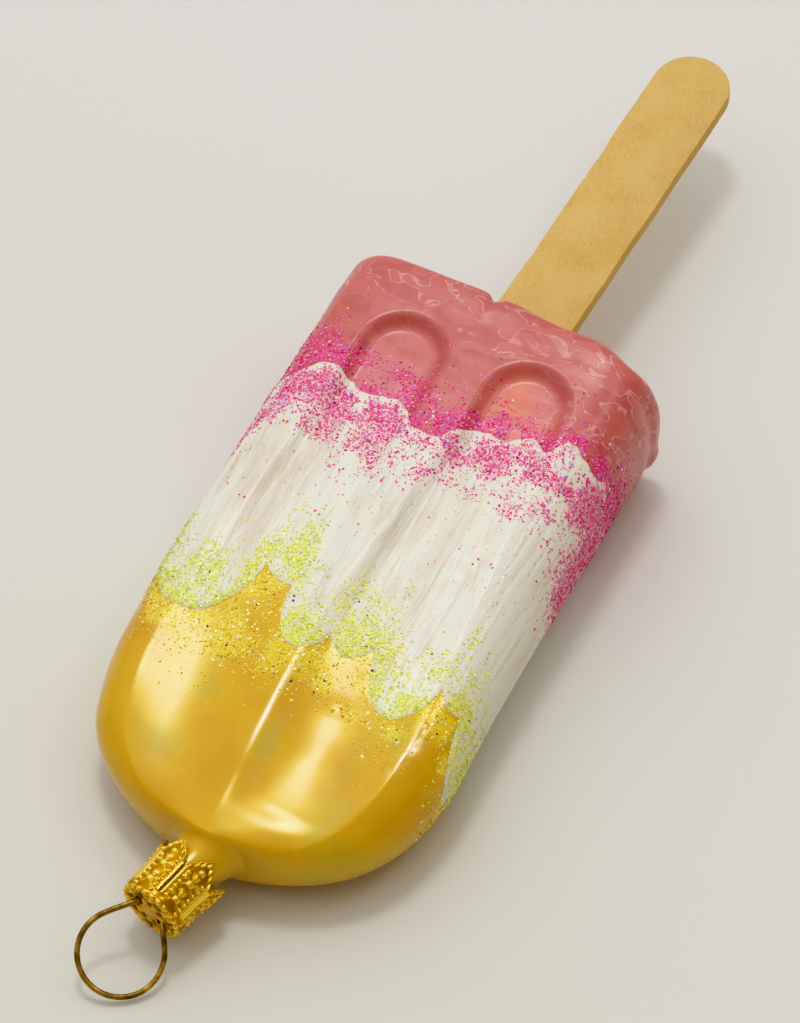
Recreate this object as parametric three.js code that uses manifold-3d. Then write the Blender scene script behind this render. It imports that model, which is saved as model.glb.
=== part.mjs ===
// A blown-glass hanging ornament in the shape of an ice pop, lying on its back.
//
// Lengths are millimetres and +Z is up. The body frame has its origin where the
// neck leaves the round tip, +Y along the pop to the stick, +X to its right side
// and +Z out of its front. The finished group is pitched so that the back ridge
// lies flat, and its origin is the bottom centre of the whole.

import * as THREE from "three";
import { mergeVertices } from "three/addons/utils/BufferGeometryUtils.js";
import Module from "manifold-3d";

const wasm = await Module();
wasm.setup();

// Body, moulded in two like halves that meet at z = 0
const BODY_LENGTH = 79;
const HALF_WIDTH_AT_TIP = 22.9;
const HALF_WIDTH_AT_END = 21.2;
const END_FLARE = 0.6;
const HALF_DEPTH_AT_TIP = 7;
const HALF_DEPTH_AT_END = 11.5;
const TIP_ROUND_WIDE = 26;
const TIP_ROUND_DEEP = 20;
const END_ROUND = 2.6;
const CORNER_ROUND = 1.3;
const END_BULGE = 0.3;
const BULGE_START = 47.4;
const TIP_DRIFT = 1.4;
const DRIFT_END = 32;
const TIP_POWER_WIDE = 2.5;
const TIP_POWER_DEEP = 2.4;
const ROOT_BLEND = 9;
const CROWN_POWER = 2.3;

// Ridges and flutes on both faces, with an arched end to each flute
const OUTER_RIDGE = 0.78;
const FLUTE_DEPTH = 1.7;
const FLUTE_START = 2;
const FLUTE_FULL = 14;
const ARCH_HALF_WIDTH = 5.4;
const ARCH_TOP = 70.4;
const CHANNEL_START = 24;
const CHANNEL_FULL = 60;
const RELIEF_DRIFT = -1;
const FLARE_START = 66.4;
const TIP_SQUARENESS = 2.2;
const SHOULDER_SQUARENESS = 4.6;
const END_SQUARENESS = 7;
const SHOULDER = 16;
const SQUARE_START = 45;

// Neck, leaning a little off the long axis, with a blind mouth for the wire
const NECK_RADIUS = 3.3;
const NECK_ROOT_RADIUS = 4.9;
const NECK_LENGTH = 9.6;
const NECK_LEAN = THREE.MathUtils.degToRad(12.5);
const NECK_OFFSET = 1.6;
const NECK_FLARE = 1.3;
const NECK_BEND = 2.5;
const MOUTH_RADIUS = 2.5;
const MOUTH_DEPTH = 6.5;

// Pressed metal cap round the neck
const CAP_RADIUS = 4.05;
const CAP_WALL = 0.38;
const CAP_FLARE = 0.35;
const CAP_START = 2.1;
const CAP_LENGTH = 8.2;
const PETALS = 4;
const PETAL_POINT = 1.7;
const PETAL_COVER = 0.86;
const SLIT_WIDTH = 0.3;
const SLIT_LENGTH = 6.2;
const CAP_STRAIGHT = 3;
const PLATE_BEVEL = 0.5;

// Wire ring with two legs through the cap's plate
const WIRE_RADIUS = 0.34;
const LOOP_RADIUS = 5.05;
const LOOP_REACH = 5.6;
const LOOP_OFFSET = 1.15;
const LOOP_FROM = THREE.MathUtils.degToRad(203);
const LOOP_TO = THREE.MathUtils.degToRad(-52);
const LOOP_BENDS = 20;
const LEG_SPREAD = 1.8;
const LEG_DEPTH = 4.2;
const RING_TURN = THREE.MathUtils.degToRad(28);
const RING_DROOP = THREE.MathUtils.degToRad(18);
const WIRE_HOLE_RADIUS = 0.66;

// Craft stick, glued into a shallow pocket in the square end
const STICK_WIDTH = 10;
const STICK_THICKNESS = 2;
const STICK_VISIBLE = 51;
const STICK_POCKET = 5;
const STICK_OFFSET = 0.7;
const STICK_LEAN = THREE.MathUtils.degToRad(1.5);

// Play between neighbours, and how deep the resting ridge is rubbed flat
const GAP = 0.3;
const REST_FLAT = 0.22;

const PLATE = -CAP_START - CAP_LENGTH;
const PITCH = Math.atan((HALF_DEPTH_AT_END - HALF_DEPTH_AT_TIP) / BODY_LENGTH);

// Rings of points that the body's skin is drawn through
const STEPS_ACROSS = 30;
const TIP_STEPS = 16;
const NECK_STATIONS = [NECK_LENGTH, 7.5, 5.5, 4, 3, 2.2, 1.5, 0.9, 0.4];
const ARCH_START = ARCH_TOP - 1.4 * ARCH_HALF_WIDTH;
const END_EDGE = BODY_LENGTH - END_ROUND;
const STRETCHES = [[TIP_ROUND_WIDE, ARCH_START, 13], [ARCH_START, ARCH_TOP, 9], [ARCH_TOP, END_EDGE, 3]];
const EDGE_TURNS = [22, 45, 67, 90].map((degrees) => THREE.MathUtils.degToRad(degrees));

const glassGold = new THREE.MeshStandardMaterial({ color: "#d9a63a", roughness: 0.3, metalness: 0.4 });
const giltMetal = new THREE.MeshStandardMaterial({ color: "#c9971f", roughness: 0.25, metalness: 1 });
const agedWire = new THREE.MeshStandardMaterial({ color: "#8a6f3c", roughness: 0.35, metalness: 1 });
const birch = new THREE.MeshStandardMaterial({ color: "#d3af62", roughness: 0.8, metalness: 0 });

const mix = (a, b, t) => a + (b - a) * t;

function smooth(from, to, value) {
  const t = Math.min(1, Math.max(0, (value - from) / (to - from)));
  return t * t * (3 - 2 * t);
}

// Quarter of a superellipse: 0 at the tip, 1 once past the rounded length
function roundOff(y, length, power) {
  const t = Math.min(1, Math.max(0, 1 - y / length));
  return Math.pow(1 - Math.pow(t, power), 1 / power);
}

function halfWidth(y) {
  const flare = END_FLARE * smooth(FLARE_START, BODY_LENGTH, y);
  const full = mix(HALF_WIDTH_AT_TIP, HALF_WIDTH_AT_END, y / BODY_LENGTH) + flare;
  const body = full * roundOff(y, TIP_ROUND_WIDE, TIP_POWER_WIDE);
  return Math.cbrt(NECK_ROOT_RADIUS ** 3 + body ** 3);
}

function halfDepth(y) {
  const full = mix(HALF_DEPTH_AT_TIP, HALF_DEPTH_AT_END, y / BODY_LENGTH);
  const body = full * roundOff(y, TIP_ROUND_DEEP, TIP_POWER_DEEP);
  return Math.cbrt(NECK_ROOT_RADIUS ** 3 * (1 - smooth(0, ROOT_BLEND, y)) + body ** 3);
}

// The blown tip and its neck sit a little to the right of the body's middle
const tipDrift = (y) => TIP_DRIFT * (1 - smooth(0, DRIFT_END, y));

// Depth of the flute at a point of the face, 0 on the ridges and past the arch
function flute(xFromAxis, y) {
  const x = xFromAxis - RELIEF_DRIFT * smooth(FLUTE_FULL, ARCH_TOP, y);
  const ridge = OUTER_RIDGE * halfWidth(y);
  const channel = smooth(CHANNEL_START, CHANNEL_FULL, y);
  const half = mix(ridge / 2, ARCH_HALF_WIDTH, channel);
  const across = Math.abs(Math.abs(x) - ridge / 2);
  const beyond = Math.max(0, y - (ARCH_TOP - ARCH_HALF_WIDTH));
  const reach = Math.hypot(across, beyond) / half;
  const depth = FLUTE_DEPTH * smooth(FLUTE_START, FLUTE_FULL, y);
  return reach < 1 ? depth * (1 - Math.pow(reach, mix(2, 5, channel))) : 0;
}

// Higher is squarer: a round tip, flat faces further on
function squareness(y) {
  return mix(TIP_SQUARENESS, SHOULDER_SQUARENESS, smooth(0, SHOULDER, y))
    + (END_SQUARENESS - SHOULDER_SQUARENESS) * smooth(SQUARE_START, BODY_LENGTH, y);
}

// One ring of points round the body at a station along it
function bodySection(y, sideInset, faceInset, yShift) {
  const wide = halfWidth(y) - sideInset;
  const deep = halfDepth(y) - faceInset;
  const points = [];
  for (const side of [1, -1]) {
    for (let i = 0; i < STEPS_ACROSS; i += 1) {
      const x = -wide * Math.sin(Math.PI * (i / STEPS_ACROSS - 0.5) * side);
      const across = Math.abs(x / wide);
      const crown = Math.pow(Math.max(0, 1 - across ** squareness(y)), 1 / CROWN_POWER);
      const z = side * (deep * crown - flute(x, y) * smooth(0, 0.3, 1 - across));
      const bulge = END_BULGE * smooth(BULGE_START, BODY_LENGTH, y) * across ** 2;
      points.push(new THREE.Vector3(x + tipDrift(y), y + yShift - bulge, z));
    }
  }
  return points;
}

// Ring of points round the neck, leaning with it
function neckSection(along) {
  const radius = NECK_RADIUS + (NECK_ROOT_RADIUS - NECK_RADIUS) * Math.exp(-along / NECK_FLARE);
  const lean = NECK_LEAN * smooth(0, NECK_BEND, along);
  const points = [];
  for (const side of [1, -1]) {
    for (let i = 0; i < STEPS_ACROSS; i += 1) {
      const turn = Math.PI * (i / STEPS_ACROSS - 0.5) * side;
      const x = -radius * Math.sin(turn);
      const z = side * radius * Math.cos(turn);
      points.push(new THREE.Vector3(
        NECK_OFFSET + x * Math.cos(lean) - along * Math.sin(NECK_LEAN),
        -along * Math.cos(NECK_LEAN) - x * Math.sin(lean),
        z));
    }
  }
  return points;
}

// Closed skin through rings of equal count, each end shut by a fan
function loft(rings) {
  const count = rings[0].length;
  const positions = [];
  const indices = [];
  for (const ring of rings) for (const point of ring) positions.push(point.x, point.y, point.z);
  for (let r = 0; r < rings.length - 1; r += 1) {
    for (let i = 0; i < count; i += 1) {
      const next = (i + 1) % count;
      const [a, b] = [r * count + i, r * count + next];
      const [c, d] = [a + count, b + count];
      indices.push(a, c, b, b, c, d);
    }
  }
  for (const last of [false, true]) {
    const ring = last ? rings[rings.length - 1] : rings[0];
    const base = last ? (rings.length - 1) * count : 0;
    const centre = ring.reduce((sum, p) => sum.add(p), new THREE.Vector3()).divideScalar(count);
    const hub = positions.length / 3;
    positions.push(centre.x, centre.y, centre.z);
    for (let i = 0; i < count; i += 1) {
      const next = (i + 1) % count;
      if (last) indices.push(base + i, hub, base + next);
      else indices.push(base + next, hub, base + i);
    }
  }
  const geometry = new THREE.BufferGeometry();
  geometry.setAttribute("position", new THREE.Float32BufferAttribute(positions, 3));
  geometry.setIndex(indices);
  return geometry;
}

function toSolid(geometry) {
  const bare = geometry.clone();
  bare.deleteAttribute("normal");
  bare.deleteAttribute("uv");
  const merged = mergeVertices(bare, 1e-4);
  return new wasm.Manifold(new wasm.Mesh({
    numProp: 3,
    vertProperties: new Float32Array(merged.attributes.position.array),
    triVerts: new Uint32Array(merged.index.array),
  }));
}

function toMesh(name, solid, material) {
  const cut = solid.getMesh();
  const geometry = new THREE.BufferGeometry();
  geometry.setAttribute("position", new THREE.BufferAttribute(cut.vertProperties, 3));
  geometry.setIndex(new THREE.BufferAttribute(cut.triVerts, 1));
  geometry.computeVertexNormals();
  const mesh = new THREE.Mesh(geometry, material);
  mesh.name = name;
  return mesh;
}

// Axis frame of the leaning neck: local +Y runs back along it to the body
function placeOnNeck(geometry) {
  return geometry.rotateZ(-NECK_LEAN).translate(NECK_OFFSET, 0, 0);
}

// A flat bar with one half-round end, its length along +Y from y = 0
function stickBar(width, thickness, length, start) {
  const half = width / 2;
  const outline = new THREE.Shape();
  outline.moveTo(-half, start);
  outline.lineTo(half, start);
  outline.lineTo(half, length - half);
  outline.absarc(0, length - half, half, 0, Math.PI, false);
  outline.closePath();
  const bar = new THREE.ExtrudeGeometry(outline, {
    depth: thickness, bevelEnabled: false, curveSegments: 24,
  });
  return bar.translate(0, 0, -thickness / 2);
}

// The stick's frame: y = 0 where it leaves the body's square end
function placeStick(geometry) {
  return geometry.rotateZ(-STICK_LEAN).translate(STICK_OFFSET, BODY_LENGTH, 0);
}

// Hollows and flat are cut from one skin through neck, tip, flutes and square end
function makeBody() {
  const rings = NECK_STATIONS.map(neckSection);
  for (let i = 0; i <= TIP_STEPS; i += 1) {
    rings.push(bodySection(TIP_ROUND_WIDE * (i / TIP_STEPS) ** 2.2, 0, 0, 0));
  }
  for (const [from, to, steps] of STRETCHES) {
    for (let i = 1; i <= steps; i += 1) rings.push(bodySection(mix(from, to, i / steps), 0, 0, 0));
  }
  for (const turn of EDGE_TURNS) {
    const inward = 1 - Math.cos(turn);
    const beyond = END_ROUND * Math.sin(turn);
    rings.push(bodySection(END_EDGE, CORNER_ROUND * inward, END_ROUND * inward, beyond));
  }
  const mouth = placeOnNeck(new THREE.CylinderGeometry(MOUTH_RADIUS, MOUTH_RADIUS, MOUTH_DEPTH, 24)
    .translate(0, MOUTH_DEPTH / 2 - NECK_LENGTH - 0.01, 0));
  // Half of this box lies beyond the square end, where there is nothing to cut
  const pocket = placeStick(new THREE.BoxGeometry(
    STICK_WIDTH + 2 * GAP, 2 * (STICK_POCKET + GAP), STICK_THICKNESS + 2 * GAP));
  const table = new THREE.BoxGeometry(200, 400, 20)
    .translate(0, 0, -10 + REST_FLAT - HALF_DEPTH_AT_TIP * Math.cos(PITCH))
    .rotateX(-PITCH);
  return toSolid(loft(rings)).subtract(toSolid(mouth)).subtract(toSolid(pocket))
    .subtract(toSolid(table));
}

function makeStick() {
  return toSolid(placeStick(stickBar(STICK_WIDTH, STICK_THICKNESS, STICK_VISIBLE, -STICK_POCKET)));
}

// Cup turned round the neck, its rim cut into pointed petals by notches and slits
function makeCap() {
  const rim = -CAP_START;
  const profile = [
    [0, PLATE], [CAP_RADIUS - PLATE_BEVEL, PLATE], [CAP_RADIUS, PLATE + PLATE_BEVEL],
    [CAP_RADIUS, PLATE + CAP_STRAIGHT], [CAP_RADIUS + CAP_FLARE, rim],
    [CAP_RADIUS + CAP_FLARE - CAP_WALL, rim], [CAP_RADIUS - CAP_WALL, PLATE + CAP_STRAIGHT],
    [CAP_RADIUS - CAP_WALL, PLATE + CAP_WALL], [0, PLATE + CAP_WALL],
  ].map(([radius, y]) => new THREE.Vector2(radius, y));
  let cap = toSolid(new THREE.LatheGeometry(profile, 48));
  const halfPetal = CAP_RADIUS * Math.tan(Math.PI / PETALS) * PETAL_COVER;
  for (let i = 0; i < PETALS; i += 1) {
    const notch = new THREE.Shape();
    notch.moveTo(-halfPetal, rim + 0.5);
    notch.lineTo(-SLIT_WIDTH / 2, rim - PETAL_POINT);
    notch.lineTo(-SLIT_WIDTH / 2, rim - SLIT_LENGTH);
    notch.lineTo(SLIT_WIDTH / 2, rim - SLIT_LENGTH);
    notch.lineTo(SLIT_WIDTH / 2, rim - PETAL_POINT);
    notch.lineTo(halfPetal, rim + 0.5);
    notch.closePath();
    const cutter = new THREE.ExtrudeGeometry(notch, { depth: 8, bevelEnabled: false })
      .translate(0, 0, 1.5)
      .rotateY((i + 0.5) * 2 * Math.PI / PETALS);
    cap = cap.subtract(toSolid(cutter));
  }
  for (const side of [-1, 1]) {
    const hole = new THREE.CylinderGeometry(WIRE_HOLE_RADIUS, WIRE_HOLE_RADIUS, 4, 16)
      .translate(side * LEG_SPREAD, PLATE, 0)
      .rotateY(RING_TURN);
    cap = cap.subtract(toSolid(hole));
  }
  return cap;
}

// Round wire bent to a loop, which droops from the plate that its legs go through
function makeRing() {
  const outside = (across, out) => new THREE.Vector3(
    across, PLATE - out * Math.cos(RING_DROOP), -out * Math.sin(RING_DROOP));
  const inside = (across, depth) => new THREE.Vector3(across, PLATE + depth, 0);
  const bends = [
    inside(1 - LEG_SPREAD, LEG_DEPTH), inside(0.2 - LEG_SPREAD, 1.6), inside(-LEG_SPREAD, 0.2),
    outside(-LEG_SPREAD - 0.55, 1.1),
  ];
  for (let i = 0; i <= LOOP_BENDS; i += 1) {
    const angle = mix(LOOP_FROM, LOOP_TO, i / LOOP_BENDS);
    bends.push(outside(
      LOOP_OFFSET + LOOP_RADIUS * Math.cos(angle), LOOP_REACH + LOOP_RADIUS * Math.sin(angle)));
  }
  bends.push(outside(LEG_SPREAD + 0.95, 0.5), inside(LEG_SPREAD, 0.2));
  bends.push(inside(LEG_SPREAD - 0.5, 1.6), inside(LEG_SPREAD - 1, LEG_DEPTH));
  const section = new THREE.Shape();
  section.absarc(0, 0, WIRE_RADIUS, 0, 2 * Math.PI, false);
  const wire = new THREE.ExtrudeGeometry(section, {
    steps: 72, curveSegments: 4, extrudePath: new THREE.CatmullRomCurve3(bends, false, "centripetal"),
  });
  return toSolid(wire.rotateY(RING_TURN));
}

const bodyFrame = new THREE.Group();
bodyFrame.add(toMesh("glass_body", makeBody(), glassGold));
bodyFrame.add(toMesh("stick", makeStick(), birch));

const neckFrame = new THREE.Group();
neckFrame.position.x = NECK_OFFSET;
neckFrame.rotation.z = -NECK_LEAN;
neckFrame.add(toMesh("crown_cap", makeCap(), giltMetal));
neckFrame.add(toMesh("hanger_ring", makeRing(), agedWire));
bodyFrame.add(neckFrame);

bodyFrame.rotation.x = PITCH;
bodyFrame.updateMatrixWorld(true);
const extent = new THREE.Box3().setFromObject(bodyFrame, true);
const middle = extent.getCenter(new THREE.Vector3());
bodyFrame.position.set(-middle.x, -middle.y, -extent.min.z);

const group = new THREE.Group();
group.add(bodyFrame);

export default group;
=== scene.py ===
"""Looks of a hanging glass ornament in the shape of an ice pop, lying on its back.

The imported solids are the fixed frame. The glass, its two lacquer coats, the
glitter, the pressed cap, the wire ring and the stick are modelled round them.
Lengths inside the classes are millimetres in the body's own frame, which has its
origin where the neck leaves the round tip, +Y along the pop to the stick and +Z
out of its front. PopForm.place turns them into metres in the part's frame.
"""

import logging
import math
from dataclasses import dataclass, field
from enum import Enum
from typing import Callable, Sequence

import bpy
import numpy as np
from mathutils import Matrix, Vector

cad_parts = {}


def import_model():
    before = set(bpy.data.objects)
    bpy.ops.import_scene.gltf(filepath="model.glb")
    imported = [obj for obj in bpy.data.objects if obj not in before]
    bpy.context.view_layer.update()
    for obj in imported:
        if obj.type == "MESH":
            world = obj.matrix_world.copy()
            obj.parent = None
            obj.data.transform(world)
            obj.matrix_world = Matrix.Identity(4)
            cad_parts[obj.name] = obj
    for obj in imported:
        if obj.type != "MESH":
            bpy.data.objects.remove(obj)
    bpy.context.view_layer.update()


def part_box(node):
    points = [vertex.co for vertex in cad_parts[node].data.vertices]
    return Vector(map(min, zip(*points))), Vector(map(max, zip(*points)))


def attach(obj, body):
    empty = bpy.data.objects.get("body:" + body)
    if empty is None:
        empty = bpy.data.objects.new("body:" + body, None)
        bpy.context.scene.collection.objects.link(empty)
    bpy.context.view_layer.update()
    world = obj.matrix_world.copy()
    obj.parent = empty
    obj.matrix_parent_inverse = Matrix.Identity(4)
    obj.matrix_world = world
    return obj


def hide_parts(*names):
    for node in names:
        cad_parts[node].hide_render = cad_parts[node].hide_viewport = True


LOG = logging.getLogger("ornament")
BODY = "root"
MM = 0.001
# Girth of the unrolled skin, mm, and the part of it from the front's middle to a side
QUARTER = 27.0
GIRTH = 4 * QUARTER

Array = np.ndarray
Span = tuple[float, float]
Hills = Sequence[tuple[float, float, float]]
Sockets = dict[str | int, object]


class Slot(Enum):
    """Material slots, by name, that are logged for the pieces."""

    GLASS = "gold_lacquer"
    WHITE = "white_lacquer"
    CORAL = "coral_lacquer"
    PINK_GLITTER = "pink_glitter"
    LIME_GLITTER = "lime_glitter"
    CAP = "gilt_metal"
    RING = "ring_wire"
    STICK = "stick_wood"


def mix(start: Array | float, end: Array | float, share: Array | float) -> Array | float:
    """Value that lies a share of the way from start to end."""
    return start + (end - start) * share


def smooth(start: float, end: float, value: Array | float) -> Array:
    """Smooth step.

    Args:
        start: Value at which the step leaves 0.
        end: Value at which it reaches 1.
        value: Where it is read.

    Returns:
        Numbers from 0 to 1.
    """
    share = np.clip((np.asarray(value, float) - start) / (end - start), 0, 1)
    return share * share * (3 - 2 * share)


def bump(value: Array, centre: float, width: float) -> Array:
    """Bell curve of height 1 round a centre."""
    return np.exp(-(((value - centre) / width) ** 2))


def hills(value: Array, rows: Hills) -> Array:
    """Sum of bell curves, each given by its height, centre and width."""
    return sum(height * bump(value, centre, width) for height, centre, width in rows)


@dataclass(frozen=True)
class Spot:
    """Soft round mark on the unrolled skin: where it is, how far it reaches and how strong it is."""

    girth: float
    along: float
    wide: float
    long: float
    strength: float = 1.0

    def __call__(self, girth: Array, along: Array) -> Array:
        """Strength of the mark at places on the skin."""
        return self.strength * bump(girth, self.girth, self.wide) * bump(along, self.along, self.long)


def spots(marks: Sequence[Spot], girth: Array, along: Array) -> Array:
    """Sum of several marks at places on the skin."""
    return sum(mark(girth, along) for mark in marks)


class SkinNoise:
    """Smooth seeded noise on the unrolled skin, closed round the girth."""

    ROWS = 1024

    def __init__(self, seed: int, cell_girth: float, cell_along: float, height: float = 1.0) -> None:
        """Draws the lattice.

        Args:
            seed: Seed of the draw.
            cell_girth: Size of a cell round the girth, mm.
            cell_along: Size of a cell along the pop, mm.
            height: Largest value.
        """
        self.columns = max(4, round(GIRTH / cell_girth))
        self.cell_along = cell_along
        self.values = height * np.random.default_rng(seed).uniform(-1, 1, (self.columns, self.ROWS))

    def __call__(self, girth: Array, along: Array) -> Array:
        """Noise at places on the skin, from minus the height to the height."""
        u = (np.asarray(girth, float) / GIRTH % 1.0) * self.columns
        v = (np.asarray(along, float) / self.cell_along) % self.ROWS
        i, j = np.floor(u).astype(int), np.floor(v).astype(int)
        fu, fv = smooth(0, 1, u - i), smooth(0, 1, v - j)
        i, j = i % self.columns, j % self.ROWS
        i_next, j_next = (i + 1) % self.columns, (j + 1) % self.ROWS
        near = mix(self.values[i, j], self.values[i_next, j], fu)
        far = mix(self.values[i, j_next], self.values[i_next, j_next], fu)
        return mix(near, far, fv)


@dataclass
class PopForm:
    """Outer form of the blown body and its neck, close to the form that the solids have.

    A place on the skin is a girth, in mm round the pop from the middle of the front
    with +QUARTER at its right side, and a distance along it. Along runs from minus
    the neck's length to 0 on the neck, to edge_start on the body, then round the
    square end's edge and over its face to the middle.
    """

    # Outline and depth from the round tip to the square end
    body_length: float = 79.0
    width_at_tip: float = 22.9
    width_at_end: float = 21.2
    depth_at_tip: float = 7.0
    depth_at_end: float = 11.5
    crown_power: float = 2.3
    square_at_tip: float = 2.2
    square_past_tip: float = 4.8
    square_added_at_end: float = 4.6
    tip_squares_over: Span = (0, 16)
    end_squares_over: Span = (40, 74)
    end_flare: float = 0.6
    flare_start: float = 66.4
    # Round tip and the root of the neck
    tip_round_wide: float = 26.0
    tip_round_deep: float = 20.0
    tip_power_wide: float = 2.5
    tip_power_deep: float = 2.4
    tip_drift: float = 1.4
    drift_end: float = 32.0
    root_blend: float = 9.0
    # Square end: the roll of its edge, its hollow face and its uneven rim
    end_round: float = 2.6
    corner_round: float = 1.3
    end_bulge: float = 0.3
    bulge_start: float = 47.4
    edge_crispness: float = 0.72
    edge_run: float = 3.2
    face_run: float = 20.0
    face_dome: float = 0.25
    notches: Hills = ((0.9, -1.5, 0.8), (1.6, 18, 4.4), (0.35, -20, 2), (0.5, 8, 4))
    notches_from: float = 70.0
    # How far the blown side walls stray
    left_strays: Hills = ((0.45, 24, 8), (-0.6, 8, 4), (0.55, 77, 4))
    left_strays_over: Span = (-2, -18)
    right_strays: Hills = ((-0.5, 75.4, 1.6),)
    right_strays_over: Span = (8, 20)
    # Ridges, the flutes between them and the arches that end these
    outer_ridge: float = 0.78
    crest_round: float = 0.7
    relief_drift: float = 0.35
    relief_drifts_from: float = 12.0
    side_fade: float = 0.3
    flute_depth: float = 1.7
    flute_full: float = 6.5
    even_until: float = 20.0
    floor_slope: float = 0.1
    floor_blend: float = 0.25
    channel_over: Span = (24, 60)
    filled_over: Span = (18, 40)
    filled_from_reach: float = 0.62
    filled_to_reach: float = 1.04
    waist_shallower: float = 0.42
    waist_starts_over: Span = (19, 31)
    waist_ends_over: Span = (62, 52)
    arch_shallower: float = 0.3
    arch_starts_over: Span = (56, 64)
    arch_half_width: float = 5.8
    arch_top: float = 71.8
    wall_reach: float = 0.86
    wall_width: float = 0.17
    wall_starts_over: Span = (52, 64)
    # Neck
    neck_radius: float = 3.3
    neck_root_radius: float = 4.9
    neck_length: float = 9.6
    neck_lean: float = math.radians(12.5)
    neck_offset: float = 1.6
    neck_flare: float = 0.85
    neck_bend: float = 2.5
    # Steps of the table that spaces places evenly round the girth
    table_rows: int = 320
    turn_steps: int = 600
    quarter_steps: int = 101
    # Places that fit reads the form's box from
    fit_columns: int = 433
    fit_rows: int = 481
    # Place in the part's frame and the solid's box, both found by fit
    offset: Array = field(default_factory=lambda: np.zeros(3))
    low: Array = field(default_factory=lambda: np.full(3, -1e3))
    high: Array = field(default_factory=lambda: np.full(3, 1e3))

    def __post_init__(self) -> None:
        """Works out the derived sizes and the even spacing round the girth."""
        self.pitch = math.atan((self.depth_at_end - self.depth_at_tip) / self.body_length)
        self.edge_start = self.body_length - self.end_round
        self.face_start = self.edge_start + self.edge_run
        self.last = self.face_start + self.face_run
        self.turns = self._turn_table()

    def half_width(self, y: Array) -> Array:
        """Half of the body's width at a distance from the tip."""
        flare = self.end_flare * smooth(self.flare_start, self.body_length, y)
        full = mix(self.width_at_tip, self.width_at_end, y / self.body_length) + flare
        body = full * self._round_off(y, self.tip_round_wide, self.tip_power_wide)
        return np.cbrt(self.neck_root_radius**3 + body**3)

    def half_depth(self, y: Array) -> Array:
        """Half of the body's depth at a distance from the tip, without the flutes."""
        root = self.neck_root_radius**3 * (1 - smooth(0, self.root_blend, y))
        return np.cbrt(root + self._plain_depth(y) ** 3)

    def flute(self, x_from_axis: Array, y: Array) -> Array:
        """Depth of the flute at a point of the face, 0 on the ridges and past the arch."""
        x = x_from_axis - self.relief_drift * smooth(self.relief_drifts_from, self.arch_top, y)
        ridge = self.outer_ridge * self.half_width(y)
        half = mix(ridge / 2, self.arch_half_width, smooth(*self.channel_over, y))
        across = np.abs(np.hypot(x, self.crest_round) - ridge / 2)
        beyond = np.maximum(0, y - (self.arch_top - self.arch_half_width))
        reach = np.hypot(across, beyond) / half
        bare = 1 - np.minimum(reach, 1) ** 2
        filled = 1 - smooth(self.filled_from_reach, self.filled_to_reach, reach)
        waist = self.waist_shallower * smooth(*self.waist_starts_over, y) * smooth(*self.waist_ends_over, y)
        share = 1 - self.arch_shallower * smooth(*self.arch_starts_over, y) - waist
        return self._middle_depth(y) * share * mix(bare, filled, smooth(*self.filled_over, y))

    def arch_wall(self, girth: Array, along: Array) -> Array:
        """Share from 0 to 1 of how steep the wall of the front's arches is at a place."""
        x = self.surface(girth, along)[..., 0] - self.relief_drift
        across = np.abs(np.abs(x) - self.outer_ridge * self.half_width(along) / 2)
        beyond = np.maximum(0, along - (self.arch_top - self.arch_half_width))
        reach = np.hypot(across, beyond) / self.arch_half_width
        steep = bump(reach, self.wall_reach, self.wall_width) * smooth(*self.wall_starts_over, along)
        return steep * (np.abs(girth) < QUARTER)

    def surface(self, girth: Array, along: Array) -> Array:
        """Points of the outer form.

        Args:
            girth: Places round the pop, mm from the middle of the front.
            along: Places along it.

        Returns:
            Points in the body's frame, mm, in the last axis.
        """
        girth, along = np.broadcast_arrays(np.asarray(girth, float), np.asarray(along, float))
        turn = self._turn(girth / QUARTER, along)
        y = np.clip(along, 0, self.edge_start)
        bend = np.clip((along - self.edge_start) / self.edge_run, 0, 1) * math.pi / 2
        inward = 1 - np.cos(bend) ** self.edge_crispness
        wide = self.half_width(y) - self.corner_round * inward
        deep = self.half_depth(y) - self.end_round * inward
        across = np.abs(np.sin(turn))
        x = wide * np.sin(turn)
        crown = np.maximum(0, 1 - across ** self._squareness(y)) ** (1 / self.crown_power)
        fluted = self.flute(x, y) * smooth(0, self.side_fade, 1 - across)
        z = np.sign(np.cos(turn)) * (deep * crown - fluted)
        bulge = self.end_bulge * smooth(self.bulge_start, self.body_length, y) * across**2
        shut = np.clip((along - self.face_start) / self.face_run, 0, 1)
        dome = self.face_dome * (1 - (1 - shut) ** 2)
        rolled = np.sin(bend) ** self.edge_crispness
        drift = self.tip_drift * (1 - smooth(0, self.drift_end, y)) + self._stray(x, y)
        near_end = smooth(self.notches_from, self.body_length, y + self.end_round * np.sin(bend))
        notch = hills(x, self.notches) * near_end
        body = np.stack(
            [x * (1 - shut) + drift, y + self.end_round * rolled - bulge - notch + dome, z * (1 - shut)], -1)
        return np.where(along[..., None] < 0, self._neck(turn, np.maximum(-along, 0)), body)

    def normal(self, girth: Array, along: Array, step: float = 0.06) -> Array:
        """Outward unit normals of the form.

        Args:
            girth: Places round the pop, mm.
            along: Places along it.
            step: Half of the span over which the slope is read, mm.

        Returns:
            Unit vectors in the body's frame.
        """
        across = self.surface(girth + step, along) - self.surface(girth - step, along)
        length = self.surface(girth, along + step) - self.surface(girth, along - step)
        normal = np.cross(across, length)
        size = np.linalg.norm(normal, axis=-1, keepdims=True)
        flat = size[..., 0] < 1e-9
        normal = normal / np.maximum(size, 1e-12)
        normal[flat] = (0, 1, 0)
        return normal

    def skin(self, girth: Array, along: Array, lift: Array | float) -> Array:
        """Points at a height above the outer form, below it where lift is negative."""
        return self.surface(girth, along) + self.normal(girth, along) * np.asarray(lift)[..., None]

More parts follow.
